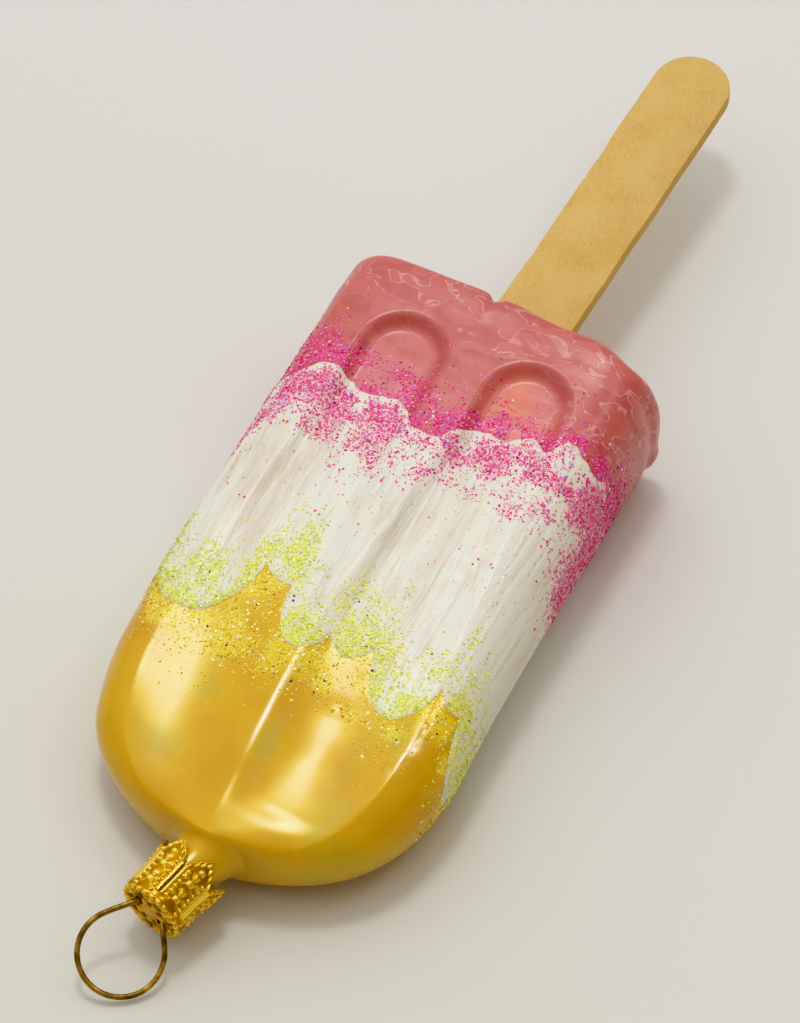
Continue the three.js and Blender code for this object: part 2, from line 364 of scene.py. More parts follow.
    def place(self, points: Array, keep_in: bool = True) -> Array:
        """Body frame, mm, to part frame, metres.

        Args:
            points: Points in the body's frame, mm.
            keep_in: Whether they are held inside the box of the glass solid.

        Returns:
            Points in the part's frame, metres.
        """
        c, s = math.cos(self.pitch), math.sin(self.pitch)
        x, y, z = points[..., 0], points[..., 1], points[..., 2]
        turned = np.stack([x, y * c - z * s, y * s + z * c], -1) + self.offset
        if keep_in:
            turned = np.clip(turned, self.low, self.high)
        return turned * MM

    def matrix(self) -> Matrix:
        """The same change of frame as place makes, for an object modelled in metres."""
        shift = Matrix.Translation(Vector([float(v) * MM for v in self.offset]))
        return shift @ Matrix.Rotation(self.pitch, 4, "X")

    def on_neck(self, points: Array) -> Array:
        """Points of the leaning neck's frame in the body's frame, mm."""
        c, s = math.cos(self.neck_lean), math.sin(self.neck_lean)
        x, y, z = points[..., 0], points[..., 1], points[..., 2]
        return np.stack([x * c + y * s + self.neck_offset, -x * s + y * c, z], -1)

    def fit(self, box: tuple[Vector, Vector]) -> None:
        """Finds where the body lies from the box of its solid.

        Args:
            box: Lowest and highest corner of the glass solid, metres.
        """
        round_body = np.linspace(-GIRTH / 2, GIRTH / 2, self.fit_columns)
        girth, along = np.meshgrid(round_body, np.linspace(0, self.face_start, self.fit_rows))
        points = self.place(self.surface(girth, along), keep_in=False).reshape(-1, 3) / MM
        self.low, self.high = (np.array(corner) / MM for corner in box)
        made_low, made_high = points.min(0), points.max(0)
        middle = (self.low[0] + self.high[0] - made_low[0] - made_high[0]) / 2
        self.offset = np.array([middle, self.high[1] - made_high[1], self.high[2] - made_high[2]])

    def _stray(self, x: Array, y: Array) -> Array:
        """How far the blown side walls stray, mm."""
        left = smooth(*self.left_strays_over, x) * hills(y, self.left_strays)
        return left + smooth(*self.right_strays_over, x) * hills(y, self.right_strays)

    def _plain_depth(self, y: Array) -> Array:
        """Half of the body's depth as if the neck had no root."""
        full = mix(self.depth_at_tip, self.depth_at_end, y / self.body_length)
        return full * self._round_off(y, self.tip_round_deep, self.tip_power_deep)

    def _middle_depth(self, y: Array) -> Array:
        """Depth of a flute's middle: even along the body, running out over the tip.

        Near the tip the floor follows a straight line until it meets the tip's own
        curve, and a soft minimum of both rounds the place where they meet.
        """
        short = np.maximum(0, self.even_until - y)
        floor = self.half_depth(np.array(self.even_until)) - self.flute_depth - self.floor_slope * short
        blend = self.floor_blend
        lowest = -blend * np.logaddexp(-self._plain_depth(y) / blend, -floor / blend)
        depth = np.where(short > 0, self.half_depth(y) - lowest, self.flute_depth)
        return depth * smooth(0, self.flute_full, y)

    def _squareness(self, y: Array) -> Array:
        """Power of the cross-section, higher where its corners are squarer."""
        tip = mix(self.square_at_tip, self.square_past_tip, smooth(*self.tip_squares_over, y))
        return tip + self.square_added_at_end * smooth(*self.end_squares_over, y)

    def _neck(self, turn: Array, out: Array) -> Array:
        """Points on the neck at distances out from its root."""
        radius = mix(self.neck_radius, self.neck_root_radius, np.exp(-out / self.neck_flare))
        lean = self.neck_lean * smooth(0, self.neck_bend, out)
        x = radius * np.sin(turn)
        return np.stack([
            self.neck_offset + x * np.cos(lean) - out * math.sin(self.neck_lean),
            -out * math.cos(self.neck_lean) - x * np.sin(lean),
            radius * np.cos(turn)], -1)

    def _turn_table(self) -> Array:
        """Turn from the front at even steps of a quarter girth, for rows along the body."""
        turn = np.linspace(0, math.pi / 2, self.turn_steps)
        across = np.sin(turn)
        shares = np.linspace(0, 1, self.quarter_steps)
        table = []
        for y in np.linspace(0, self.edge_start, self.table_rows):
            crown = np.maximum(0, 1 - across ** self._squareness(y)) ** (1 / self.crown_power)
            x, z = self.half_width(y) * across, self.half_depth(y) * crown
            run = np.concatenate([[0], np.cumsum(np.hypot(np.diff(x), np.diff(z)))])
            table.append(np.interp(shares, run / run[-1], turn))
        return np.array(table)

    def _turn(self, quarters: Array, along: Array) -> Array:
        """Turn from the front at a place, from the table."""
        wrapped = (quarters + 2) % 4 - 2
        folded = np.where(np.abs(wrapped) <= 1, np.abs(wrapped), 2 - np.abs(wrapped))
        u = folded * (self.turns.shape[1] - 1)
        v = np.clip(along / self.edge_start, 0, 1) * (self.turns.shape[0] - 1)
        i = np.minimum(u.astype(int), self.turns.shape[1] - 2)
        j = np.minimum(v.astype(int), self.turns.shape[0] - 2)
        near = mix(self.turns[j, i], self.turns[j, i + 1], u - i)
        far = mix(self.turns[j + 1, i], self.turns[j + 1, i + 1], u - i)
        turn = mix(near, far, v - j)
        return np.sign(wrapped) * np.where(np.abs(wrapped) <= 1, turn, math.pi - turn)

    @staticmethod
    def _round_off(y: Array, length: float, power: float) -> Array:
        """Quarter of a superellipse: 0 at the tip, 1 once past the rounded length."""
        share = np.clip(1 - y / length, 0, 1)
        return (1 - share**power) ** (1 / power)


def deselect() -> None:
    """Leaves nothing selected, so that an operator acts on the new piece alone."""
    if bpy.context.object and bpy.context.object.mode != "OBJECT":
        bpy.ops.object.mode_set(mode="OBJECT")
    bpy.ops.object.select_all(action="DESELECT")


def finish_piece(piece: bpy.types.Object, slot: Slot, material: bpy.types.Material) -> None:
    """Dresses a piece, logs its slot and lets it ride on the body.

    Args:
        piece: The finished object.
        slot: Slot that is logged for it.
        material: Its finish.
    """
    piece.data.materials.clear()
    piece.data.materials.append(material)
    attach(piece, BODY)
    LOG.info("%s: %d faces, slot %s", piece.name, len(piece.data.polygons), slot.value)


def wrapped_grid(name: str, points: Array, attributes: dict[str, Array] | None = None) -> bpy.types.Object:
    """Wraps a grid over a form that no operator gives, and welds it shut.

    Args:
        name: Name of the piece.
        points: Rows by columns of points in the part's frame, metres. Where the
            last column or row lies on the first, the seam is welded.
        attributes: Numbers for each point, read by the finish.

    Returns:
        The smooth-shaded object, its faces pointing out.
    """
    rows, columns = points.shape[:2]
    deselect()
    bpy.ops.mesh.primitive_grid_add(x_subdivisions=columns - 1, y_subdivisions=rows - 1)
    piece = bpy.context.object
    piece.name = name
    piece.data.name = name
    piece.data.vertices.foreach_set("co", points.reshape(-1, 3).astype(np.float32).ravel())
    for label, values in (attributes or {}).items():
        layer = piece.data.attributes.new(label, "FLOAT", "POINT")
        layer.data.foreach_set("value", np.asarray(values, np.float32).ravel())
    for layer in list(piece.data.uv_layers):
        piece.data.uv_layers.remove(layer)
    bpy.ops.object.mode_set(mode="EDIT")
    bpy.ops.mesh.select_all(action="SELECT")
    bpy.ops.mesh.remove_doubles(threshold=2e-7)
    bpy.ops.mesh.normals_make_consistent(inside=False)
    bpy.ops.object.mode_set(mode="OBJECT")
    bpy.ops.object.shade_smooth()
    return piece


@dataclass(frozen=True)
class Stroke:
    """One brush stroke's round end, which points to the tip."""

    centre: float
    half_width: float
    tip: float
    length: float

    def reach(self, girth: Array) -> Array:
        """How far towards the tip the stroke comes at places round the girth."""
        away = (girth - self.centre + GIRTH / 2) % GIRTH - GIRTH / 2
        share = np.clip(np.abs(away) / self.half_width, 0, 1)
        return np.where(share < 1, self.tip + self.length * (1 - np.sqrt(1 - share**2)), np.inf)


@dataclass
class Lacquers:
    """Edges and thicknesses of the coats that were brushed over the gold glass."""

    form: PopForm
    # Thicknesses and the heights that the coats lie at
    ground_depth: float = 0.12
    ground_deeper_at_end: float = 0.06
    glass_clearance: float = 0.35
    white_thickness: float = 0.15
    white_thicker_at_top: float = 0.1
    white_low_roll: Hills = ((0.03, 0.9, 0.7),)
    white_top_roll: Hills = ((0.035, 0.6, 0.4),)
    white_thinner_at_sides: float = 0.45
    strip_girth: float = -21.3
    strip_width: float = 1.3
    strip_height: float = 0.14
    rippled: tuple[Spot, ...] = (Spot(14.5, 44.0, 3.2, 6.5), Spot(-9, 50, 6, 6, 0.25))
    coral_thickness: float = 0.1
    drip: Spot = Spot(32.5, 77.2, 1.5, 1.6, 0.5)
    # Edges
    lip: float = 0.7
    white_root: float = 0.03
    coral_root: float = 0.02
    coral_under: float = 2.4
    base_edge: float = 35.0
    strokes: tuple[Stroke, ...] = (
        Stroke(-51.5, 4.6, 25.5, 8), Stroke(-43.5, 5.4, 22.8, 10), Stroke(-36.0, 4.4, 27.2, 6),
        Stroke(-28.2, 5.9, 26.4, 9), Stroke(-16.2, 7.6, 24.1, 12), Stroke(-5.5, 4.0, 32.1, 4),
        Stroke(-0.7, 3.95, 24.9, 7), Stroke(5.1, 3.4, 26.4, 5), Stroke(12.9, 4.9, 21.6, 9),
        Stroke(20.4, 3.2, 25.9, 4), Stroke(27.0, 5.8, 17.6, 10), Stroke(34.6, 4.2, 24.8, 6),
        Stroke(41.0, 4.6, 21.9, 9), Stroke(48.2, 4.6, 28.0, 6),
    )
    top_outline: tuple[tuple[float, float], ...] = (
        (-50, 60.0), (-43, 61.5), (-37, 59.0), (-30, 60.5), (-25, 57.8), (-20.5, 58.0), (-17.4, 59.4),
        (-14.3, 61.3), (-12, 60.9), (-9.5, 59.9), (-5, 60.5), (-3.6, 59.5), (-2.6, 58.0), (-0.5, 57.0),
        (1.3, 57.2), (2.8, 59.2), (5.3, 61.1), (8, 61.0), (10.9, 62.8), (13.3, 61.4), (14.8, 63.6),
        (17.1, 63.0), (19.9, 62.2), (22, 63.3), (26, 61.0), (31, 62.5), (37, 59.5), (43, 61.8), (49, 59.0),
    )

    def __post_init__(self) -> None:
        """Draws both edges finely and makes the noises that the coats are wrinkled by."""
        self.girths = np.linspace(-GIRTH / 2, GIRTH / 2, 4321)
        low_wobble = SkinNoise(3, 1.7, 5.0, height=0.18)(self.girths, 0.0)
        top_wobble = SkinNoise(4, 0.9, 5.0, height=0.22)(self.girths, 0.0)
        self.lower = np.minimum.reduce([stroke.reach(self.girths) for stroke in self.strokes])
        self.lower = np.minimum(self.lower, self.base_edge) + low_wobble
        self.upper = self._through(self.top_outline) + top_wobble
        self.brush_fine = SkinNoise(11, 0.42, 13.0, height=0.05)
        self.brush_broad = SkinNoise(12, 1.5, 24.0, height=0.06)
        self.brush_pool = SkinNoise(13, 5.0, 9.0, height=0.05)
        self.ripple = SkinNoise(14, 2.6, 0.9, height=0.05)
        self.wrinkle = SkinNoise(21, 3.0, 1.5, height=0.018)
        self.wrinkle_fine = SkinNoise(22, 1.3, 0.8, height=0.008)
        self.swell = SkinNoise(23, 7.0, 5.0, height=0.06)

    def lower_edge(self, girth: Array) -> Array:
        """Edge of the white over the gold."""
        return np.interp(girth, self.girths, self.lower, period=GIRTH)

    def upper_edge(self, girth: Array) -> Array:
        """Edge of the white over the coral."""
        return np.interp(girth, self.girths, self.upper, period=GIRTH)

    def coral_edge(self, girth: Array) -> Array:
        """Edge of the coral, hidden under the white."""
        return self.upper_edge(girth) - self.coral_under

    def ground_lift(self, along: Array) -> Array:
        """Height under the form that the coats lie on."""
        return -self.ground_depth * smooth(3, 14, along) - self.ground_deeper_at_end * smooth(40, 60, along)

    def glass_lift(self, girth: Array, along: Array) -> Array:
        """Height of the glass, which keeps clear of the coats' inner faces."""
        covered = smooth(0.5, 2.5, along - self.lower_edge(girth))
        return self.ground_lift(along) - self.glass_clearance * covered

    def inside(self, girth: Array, along: Array, edge: Callable[[Array], Array], reach: float = 1.5) -> Array:
        """Nearest distance to an edge that runs round the pop.

        Args:
            girth: Places round the pop.
            along: Places along it.
            edge: The edge as a function of the girth.
            reach: Distances past this are only as good as straight up.

        Returns:
            Distances in mm, negative on the tip's side of the edge.
        """
        girth, along = np.broadcast_arrays(np.asarray(girth, float), np.asarray(along, float))
        straight = along - edge(girth)
        nearest = np.abs(straight)
        for away in np.linspace(-reach, reach, 41):
            nearest = np.minimum(nearest, np.hypot(away, along - edge(girth + away)))
        return np.sign(straight) * nearest

    def white_lift(self, girth: Array, along: Array) -> Array:
        """Height of the white coat's face over the form."""
        from_low = self.inside(girth, along, self.lower_edge)
        from_top = -self.inside(girth, along, self.upper_edge)
        thick = self.white_thickness + self.white_thicker_at_top * smooth(6, 1, from_top)
        thick = thick + hills(from_low, self.white_low_roll) + hills(from_top, self.white_top_roll)
        strip = self.strip_height * bump(girth, self.strip_girth, self.strip_width) * smooth(34, 40, along)
        brushed = self.brush_fine(girth, along) + self.brush_broad(girth, along)
        brushed = brushed + self.brush_pool(girth, along)
        thick = thick + smooth(0.2, 2.0, np.minimum(from_low, from_top)) * (brushed + strip)
        thick = thick + spots(self.rippled, girth, along) * self.ripple(girth, along)
        side = 1 - self.white_thinner_at_sides * bump(np.abs(girth), QUARTER, 5.0)
        rounded = self._rounded(np.minimum(from_low, from_top))
        return self.ground_lift(along) - self.white_root + (thick * side + self.white_root) * rounded

    def coral_lift(self, girth: Array, along: Array) -> Array:
        """Height of the coral coat's face over the form."""
        far = np.minimum(along, self.form.face_start)
        waves = self.wrinkle(girth, far) + self.wrinkle_fine(girth, far) + self.swell(girth, far)
        rolled = smooth(self.form.edge_start - 3, self.form.edge_start + 1, along)
        rim = 2 * rolled * self.swell(girth * 1.7, 3.0 + 0 * girth)
        shut = smooth(self.form.face_start, self.form.face_start + 8, along)
        thick = self.coral_thickness + (waves + rim + self.drip(girth, along)) * (1 - shut)
        rounded = self._rounded(self.inside(girth, along, self.coral_edge))
        return self.ground_lift(along) - self.coral_root + (thick + self.coral_root) * rounded

    def top_lift(self, girth: Array, along: Array) -> Array:
        """Height of whatever lies outermost at a place."""
        white = (along > self.lower_edge(girth)) & (along < self.upper_edge(girth))
        coral = along >= self.upper_edge(girth)
        lift = np.where(white, self.white_lift(girth, along), self.ground_lift(along))
        return np.where(coral, self.coral_lift(girth, along), lift)

    def _rounded(self, from_edge: Array) -> Array:
        """Share of a coat's full height at a distance from its edge, which is a quarter round."""
        share = np.clip(from_edge / self.lip, 0, 1)
        return np.sqrt(1 - (1 - share) ** 2)

    def _through(self, outline: Sequence[tuple[float, float]]) -> Array:
        """Smooth closed line through an outline's points, at the fine girths."""
        x = np.array([p[0] for p in outline], float)
        y = np.array([p[1] for p in outline], float)
        x = np.concatenate([x[-2:] - GIRTH, x, x[:2] + GIRTH])
        y = np.concatenate([y[-2:], y, y[:2]])
        slope = (y[2:] - y[:-2]) / (x[2:] - x[:-2])
        slope = np.concatenate([[0], slope, [0]])
        k = np.clip(np.searchsorted(x, self.girths, side="right") - 1, 1, len(x) - 3)
        span = x[k + 1] - x[k]
        t = (self.girths - x[k]) / span
        return (y[k] * (1 + 2 * t) * (1 - t) ** 2 + slope[k] * span * t * (1 - t) ** 2
                + y[k + 1] * t * t * (3 - 2 * t) + slope[k + 1] * span * t * t * (t - 1))


def linear(colour: str) -> tuple[float, float, float, float]:
    """sRGB hex colour as linear numbers with alpha 1.

    Args:
        colour: Six hex digits after a hash sign.

    Returns:
        Red, green, blue and alpha.
    """
    parts = [int(colour[i:i + 2], 16) / 255 for i in (1, 3, 5)]
    red, green, blue = (c / 12.92 if c <= 0.04045 else ((c + 0.055) / 1.055) ** 2.4 for c in parts)
    return red, green, blue, 1.0


def add_node(
    tree: bpy.types.NodeTree,
    kind: str,
    inputs: Sockets | None = None,
    stops: Sequence[tuple[float, str]] = (),
    **settings: object,
) -> bpy.types.Node:
    """Adds a node with its settings and links.

    Args:
        tree: Tree that it goes into.
        kind: Blender's name for the node.
        inputs: Socket name or number to a value, or to the socket that feeds it.
        stops: Place and colour of a colour ramp's stops.
        settings: Attributes of the node.

    Returns:
        The new node.
    """
    node = tree.nodes.new(kind)
    for name, value in settings.items():
        setattr(node, name, value)
    for socket, value in (inputs or {}).items():
        if isinstance(value, bpy.types.NodeSocket):
            tree.links.new(value, node.inputs[socket])
        else:
            node.inputs[socket].default_value = value
    for index, (place, colour) in enumerate(stops):
        elements = node.color_ramp.elements
        element = elements[index] if index < 2 else elements.new(place)
        element.position = place
        element.color = linear(colour)
    return node


def new_material(name: str) -> tuple[bpy.types.Material, bpy.types.NodeTree, bpy.types.Node]:
    """Empty node material.

    Args:
        name: The material's name.

    Returns:
        The material, its tree and its Principled node, wired to the output.
    """
    material = bpy.data.materials.new(name)
    material.use_nodes = True
    tree = material.node_tree
    tree.nodes.clear()
    shader = add_node(tree, "ShaderNodeBsdfPrincipled")
    add_node(tree, "ShaderNodeOutputMaterial", {"Surface": shader.outputs["BSDF"]})
    return material, tree, shader


@dataclass(frozen=True)
class Dust:
    """Glitter too fine to model as flakes, which specks the coat that it lies on.

    Its real grains are too fine to show, so they are drawn as coarse as they need to.
    """

    layer: str
    colour: str
    starts: float = 0.06
    full: float = 0.6
    most: float = 0.55
    grain_mm: float = 0.3

    def over(self, tree: bpy.types.NodeTree, ground: bpy.types.NodeSocket) -> bpy.types.NodeSocket:
        """Lays the dust over a colour.

        Args:
            tree: Tree of the material.
            ground: The colour under it.

        Returns:
            The mixed colour.
        """
        place = add_node(tree, "ShaderNodeTexCoord").outputs["Object"]
        speck = add_node(tree, "ShaderNodeTexNoise", {
            "Vector": place, "Scale": 1 / (self.grain_mm * MM), "Detail": 2.0})
        dust = add_node(tree, "ShaderNodeAttribute", attribute_name=self.layer)
        lying = add_node(tree, "ShaderNodeMath", {
            0: dust.outputs["Fac"], 1: speck.outputs["Fac"]}, operation="MULTIPLY")
        cover = add_node(tree, "ShaderNodeMapRange", {
            "Value": lying.outputs[0], "From Min": self.starts, "From Max": self.full, "To Max": self.most})
        return add_node(tree, "ShaderNodeMix", {
            0: cover.outputs["Result"], 6: ground, 7: linear(self.colour)}, data_type="RGBA").outputs[2]


@dataclass(frozen=True)
class PearlGold:
    """Satin pearl gold lacquer sprayed on silvered blown glass.

    The silver under the clear gold tint gives a broad, soft, creamy gleam. Where
    the coat is thin on a ridge the bare silver shows.
    """

    name: str = "pearl_gold_lacquer_on_blown_glass"
    gold: str = "#E0AA18"
    deep_gold: str = "#D79A0E"
    olive: str = "#CBAC34"
    silver: str = "#F2ECD8"
    cloud: str = "#B9AE74"
    sheen: str = "#C6F4A8"
    dust: Dust = Dust("gold_dust", "#FFE040", starts=0.1, full=0.5, most=0.8, grain_mm=0.2)
    roughness: float = 0.25
    silver_roughness: float = 0.16
    metallic: float = 0.08
    silver_metallic: float = 0.95
    specular: float = 0.85
    coat: float = 0.4
    coat_roughness: float = 0.13
    cloud_mm: float = 9.0
    grain_mm: float = 0.9
    dent_mm: float = 0.3

    def build(self) -> bpy.types.Material:
        """Makes the material."""
        material, tree, shader = new_material(self.name)
        place = add_node(tree, "ShaderNodeTexCoord").outputs["Object"]
        cloud = add_node(tree, "ShaderNodeTexNoise", {
            "Vector": place, "Scale": 1 / (self.cloud_mm * MM), "Detail": 2.0})
        gold = add_node(tree, "ShaderNodeValToRGB", {"Fac": cloud.outputs["Fac"]}, stops=(
            (0.3, self.deep_gold), (0.55, self.gold), (0.75, self.olive)))
        colour = gold.outputs["Color"]
        for layer, tint in (("silver", self.silver), ("haze", self.cloud)):
            share = add_node(tree, "ShaderNodeAttribute", attribute_name=layer)
            colour = add_node(tree, "ShaderNodeMix", {
                0: share.outputs["Fac"], 6: colour, 7: linear(tint)}, data_type="RGBA").outputs[2]
        bare = add_node(tree, "ShaderNodeAttribute", attribute_name="silver")
        grain = add_node(tree, "ShaderNodeTexNoise", {
            "Vector": place, "Scale": 1 / (self.grain_mm * MM), "Detail": 3.0})
        satin = add_node(tree, "ShaderNodeMapRange", {
            "Value": grain.outputs["Fac"], "To Min": self.roughness - 0.05, "To Max": self.roughness + 0.06})
        gloss = add_node(tree, "ShaderNodeMix", {
            0: bare.outputs["Fac"], 2: satin.outputs["Result"], 3: self.silver_roughness}, data_type="FLOAT")
        metal = add_node(tree, "ShaderNodeMapRange", {
            "Value": bare.outputs["Fac"], "To Min": self.metallic, "To Max": self.silver_metallic})
        dents = add_node(tree, "ShaderNodeBump", {
            "Height": cloud.outputs["Fac"], "Strength": 0.25, "Distance": self.dent_mm * MM})
        tree.links.new(self.dust.over(tree, colour), shader.inputs["Base Color"])
        tree.links.new(gloss.outputs[0], shader.inputs["Roughness"])
        tree.links.new(dents.outputs["Normal"], shader.inputs["Normal"])
        tree.links.new(metal.outputs["Result"], shader.inputs["Metallic"])
        shader.inputs["Specular IOR Level"].default_value = self.specular
        shader.inputs["Specular Tint"].default_value = linear(self.sheen)
        shader.inputs["Coat Weight"].default_value = self.coat
        shader.inputs["Coat Roughness"].default_value = self.coat_roughness
        return material


@dataclass(frozen=True)
class BrushedWhite:
    """Thick warm white lacquer brushed lengthwise over the gold.

    The bristles leave fine lines, which are drawn a little coarser than real ones so
    that they show. Where they scraped it thin the ground shows through as beige and
    faint pink streaks.
    """

    name: str = "brushed_white_lacquer"
    white: str = "#F0EEDF"
    thin: str = "#DDD0B4"
    blush: str = "#E2CBB8"
    dusts: tuple[Dust, ...] = (Dust("pink_dust", "#FF9CBA"), Dust("lime_dust", "#F0F06A"))
    streak_mm: float = 0.5
    patch_mm: float = 3.0
    run_mm: float = 15.0
    line_mm: float = 0.17
    bristle_mm: float = 0.09
    roughness: float = 0.36
    coat: float = 0.25
    coat_roughness: float = 0.2
    subsurface: float = 0.12
    glow_mm: float = 0.3

    def build(self) -> bpy.types.Material:
        """Makes the material."""
        material, tree, shader = new_material(self.name)
        place = add_node(tree, "ShaderNodeTexCoord").outputs["Object"]
        run = 1 / (self.run_mm * MM)
        noises = []
        for width_mm, detail in ((self.streak_mm, 4.0), (self.patch_mm, 2.0), (self.line_mm, 3.0)):
            across = 1 / (width_mm * MM)
            drawn = add_node(tree, "ShaderNodeMapping", {"Vector": place, "Scale": (across, run, across)})
            noise = add_node(tree, "ShaderNodeTexNoise", {
                "Vector": drawn.outputs[0], "Scale": 1.0, "Detail": detail})
            noises.append(noise.outputs["Fac"])
        streaks, patches, lines = noises
        bare = add_node(tree, "ShaderNodeAttribute", attribute_name="thin")
        both = add_node(tree, "ShaderNodeMath", {0: streaks, 1: patches}, operation="MULTIPLY")
        scraped = add_node(tree, "ShaderNodeMath", {
            0: both.outputs[0], 1: bare.outputs["Fac"]}, operation="ADD")
        share = add_node(tree, "ShaderNodeMapRange", {
            "Value": scraped.outputs[0], "From Min": 0.22, "From Max": 0.5})
        ground = add_node(tree, "ShaderNodeMix", {
            0: patches, 6: linear(self.thin), 7: linear(self.blush)}, data_type="RGBA")
        colour = add_node(tree, "ShaderNodeMix", {
            0: share.outputs["Result"], 6: linear(self.white), 7: ground.outputs[2]}, data_type="RGBA")
        dusted = colour.outputs[2]
        for dust in self.dusts:
            dusted = dust.over(tree, dusted)
        bristle = add_node(tree, "ShaderNodeBump", {
            "Height": lines, "Strength": 0.9, "Distance": self.bristle_mm * MM})
        tree.links.new(dusted, shader.inputs["Base Color"])
        tree.links.new(bristle.outputs["Normal"], shader.inputs["Normal"])
        shader.inputs["Roughness"].default_value = self.roughness
        shader.inputs["Coat Weight"].default_value = self.coat
        shader.inputs["Coat Roughness"].default_value = self.coat_roughness
        shader.inputs["Subsurface Weight"].default_value = self.subsurface
        shader.inputs["Subsurface Radius"].default_value = (1.0, 0.8, 0.6)
        shader.inputs["Subsurface Scale"].default_value = self.glow_mm * MM
        return material


@dataclass(frozen=True)
class WrinkledCoral:
    """Glossy coral pink lacquer that wrinkled as its skin dried.

    Thin curved ridges in the skin are raised by a bump, and the pale web where they
    catch the light is a painted highlight mixed into the colour. The arches' walls
    carry painted shade and their floors painted light; one hollow is tinted orange.
    """

    name: str = "wrinkled_coral_lacquer"
    coral: str = "#D3706A"
    deep: str = "#C7625C"
    # Painted light: the lighter colour laid on the arches' floors
    painted_floor_light: str = "#F0938C"
    # Painted highlight: the pale web along the skin's ridges
    web: str = "#ECACA6"
    # Painted shade: the darker colour laid on the arches' walls
    painted_wall_shade: str = "#BE5A56"
    orange: str = "#F48A5C"
    dust: Dust = Dust("pink_dust", "#E6407C", starts=0.04, most=0.7)
    patch_mm: float = 3.4
    flatten: float = 1.7
    web_share: float = 0.62
    web_mm: float = 0.05
    roughness: float = 0.3
    coat: float = 0.2
    coat_roughness: float = 0.27

    def build(self) -> bpy.types.Material:
        """Makes the material."""
        material, tree, shader = new_material(self.name)
        place = add_node(tree, "ShaderNodeTexCoord").outputs["Object"]
        scale = 1 / (self.patch_mm * MM)
        flat = add_node(tree, "ShaderNodeMapping", {
            "Vector": place, "Scale": (scale, scale * self.flatten, scale), "Rotation": (0, 0, 0.12)})
        skin = add_node(tree, "ShaderNodeTexNoise", {
            "Vector": flat.outputs[0], "Scale": 1.0, "Detail": 1.0, "Distortion": 0.7})
        # The web runs where the noise crosses its middle value
        away = add_node(tree, "ShaderNodeMath", {0: skin.outputs["Fac"], 1: 0.5}, operation="SUBTRACT")
        near = add_node(tree, "ShaderNodeMath", {0: away.outputs[0]}, operation="ABSOLUTE")
        ridge = add_node(tree, "ShaderNodeMapRange", {
            "Value": near.outputs[0], "From Min": 0.008, "From Max": 0.032, "To Min": 1.0, "To Max": 0.0})
        where = add_node(tree, "ShaderNodeAttribute", attribute_name="web")
        web = add_node(tree, "ShaderNodeMath", {
            0: ridge.outputs["Result"], 1: where.outputs["Fac"]}, operation="MULTIPLY")
        pale = add_node(tree, "ShaderNodeMath", {0: web.outputs[0], 1: self.web_share}, operation="MULTIPLY")
        depth = add_node(tree, "ShaderNodeMapRange", {
            "Value": skin.outputs["Fac"], "From Min": 0.3, "From Max": 0.62})
        skin_colour = add_node(tree, "ShaderNodeMix", {
            0: depth.outputs["Result"], 6: linear(self.deep), 7: linear(self.coral)}, data_type="RGBA")
        colour = skin_colour.outputs[2]
        # Painted light on the arches' floors, painted shade on their walls, and an orange tint in one hollow
        for layer, tint in (("floor", self.painted_floor_light), ("painted_wall_shade", self.painted_wall_shade), ("orange", self.orange)):
            share = add_node(tree, "ShaderNodeAttribute", attribute_name=layer)
            colour = add_node(tree, "ShaderNodeMix", {
                0: share.outputs["Fac"], 6: colour, 7: linear(tint)}, data_type="RGBA").outputs[2]
        # Mixes in the pale web, a painted highlight along the raised ridges
        webbed = add_node(tree, "ShaderNodeMix", {
            0: pale.outputs[0], 6: colour, 7: linear(self.web)}, data_type="RGBA").outputs[2]
        raised = add_node(tree, "ShaderNodeBump", {
            "Height": web.outputs[0], "Strength": 0.6, "Distance": self.web_mm * MM})
        tree.links.new(self.dust.over(tree, webbed), shader.inputs["Base Color"])
        tree.links.new(raised.outputs["Normal"], shader.inputs["Normal"])
        shader.inputs["Roughness"].default_value = self.roughness
        shader.inputs["Coat Weight"].default_value = self.coat
        shader.inputs["Coat Roughness"].default_value = self.coat_roughness
        return material


@dataclass(frozen=True)
class GlitterFilm:
    """Polyester film, metal-coated and cut fine, so that its colour shifts flake by flake.

    A few flakes lie flat enough to the light to look like bare mirrors.
    """

    name: str
    stops: tuple[tuple[float, str], ...]
    metallic: float = 0.1
    roughness: float = 0.3
    mirror_roughness: float = 0.1
    coat: float = 0.6
    coat_roughness: float = 0.08

    def build(self) -> bpy.types.Material:
        """Makes the material."""
        material, tree, shader = new_material(self.name)
        tint = add_node(tree, "ShaderNodeAttribute", attribute_name="tint")
        film = add_node(tree, "ShaderNodeValToRGB", {"Fac": tint.outputs["Fac"]}, stops=self.stops)
        mirror = add_node(tree, "ShaderNodeAttribute", attribute_name="mirror")
        shine = add_node(tree, "ShaderNodeMapRange", {
            "Value": mirror.outputs["Fac"], "To Min": self.metallic, "To Max": 1.0})
        gloss = add_node(tree, "ShaderNodeMapRange", {
            "Value": mirror.outputs["Fac"], "To Min": self.roughness, "To Max": self.mirror_roughness})
        tree.links.new(film.outputs["Color"], shader.inputs["Base Color"])
        tree.links.new(shine.outputs["Result"], shader.inputs["Metallic"])
        tree.links.new(gloss.outputs["Result"], shader.inputs["Roughness"])
        shader.inputs["Coat Weight"].default_value = self.coat
        shader.inputs["Coat Roughness"].default_value = self.coat_roughness
        return material


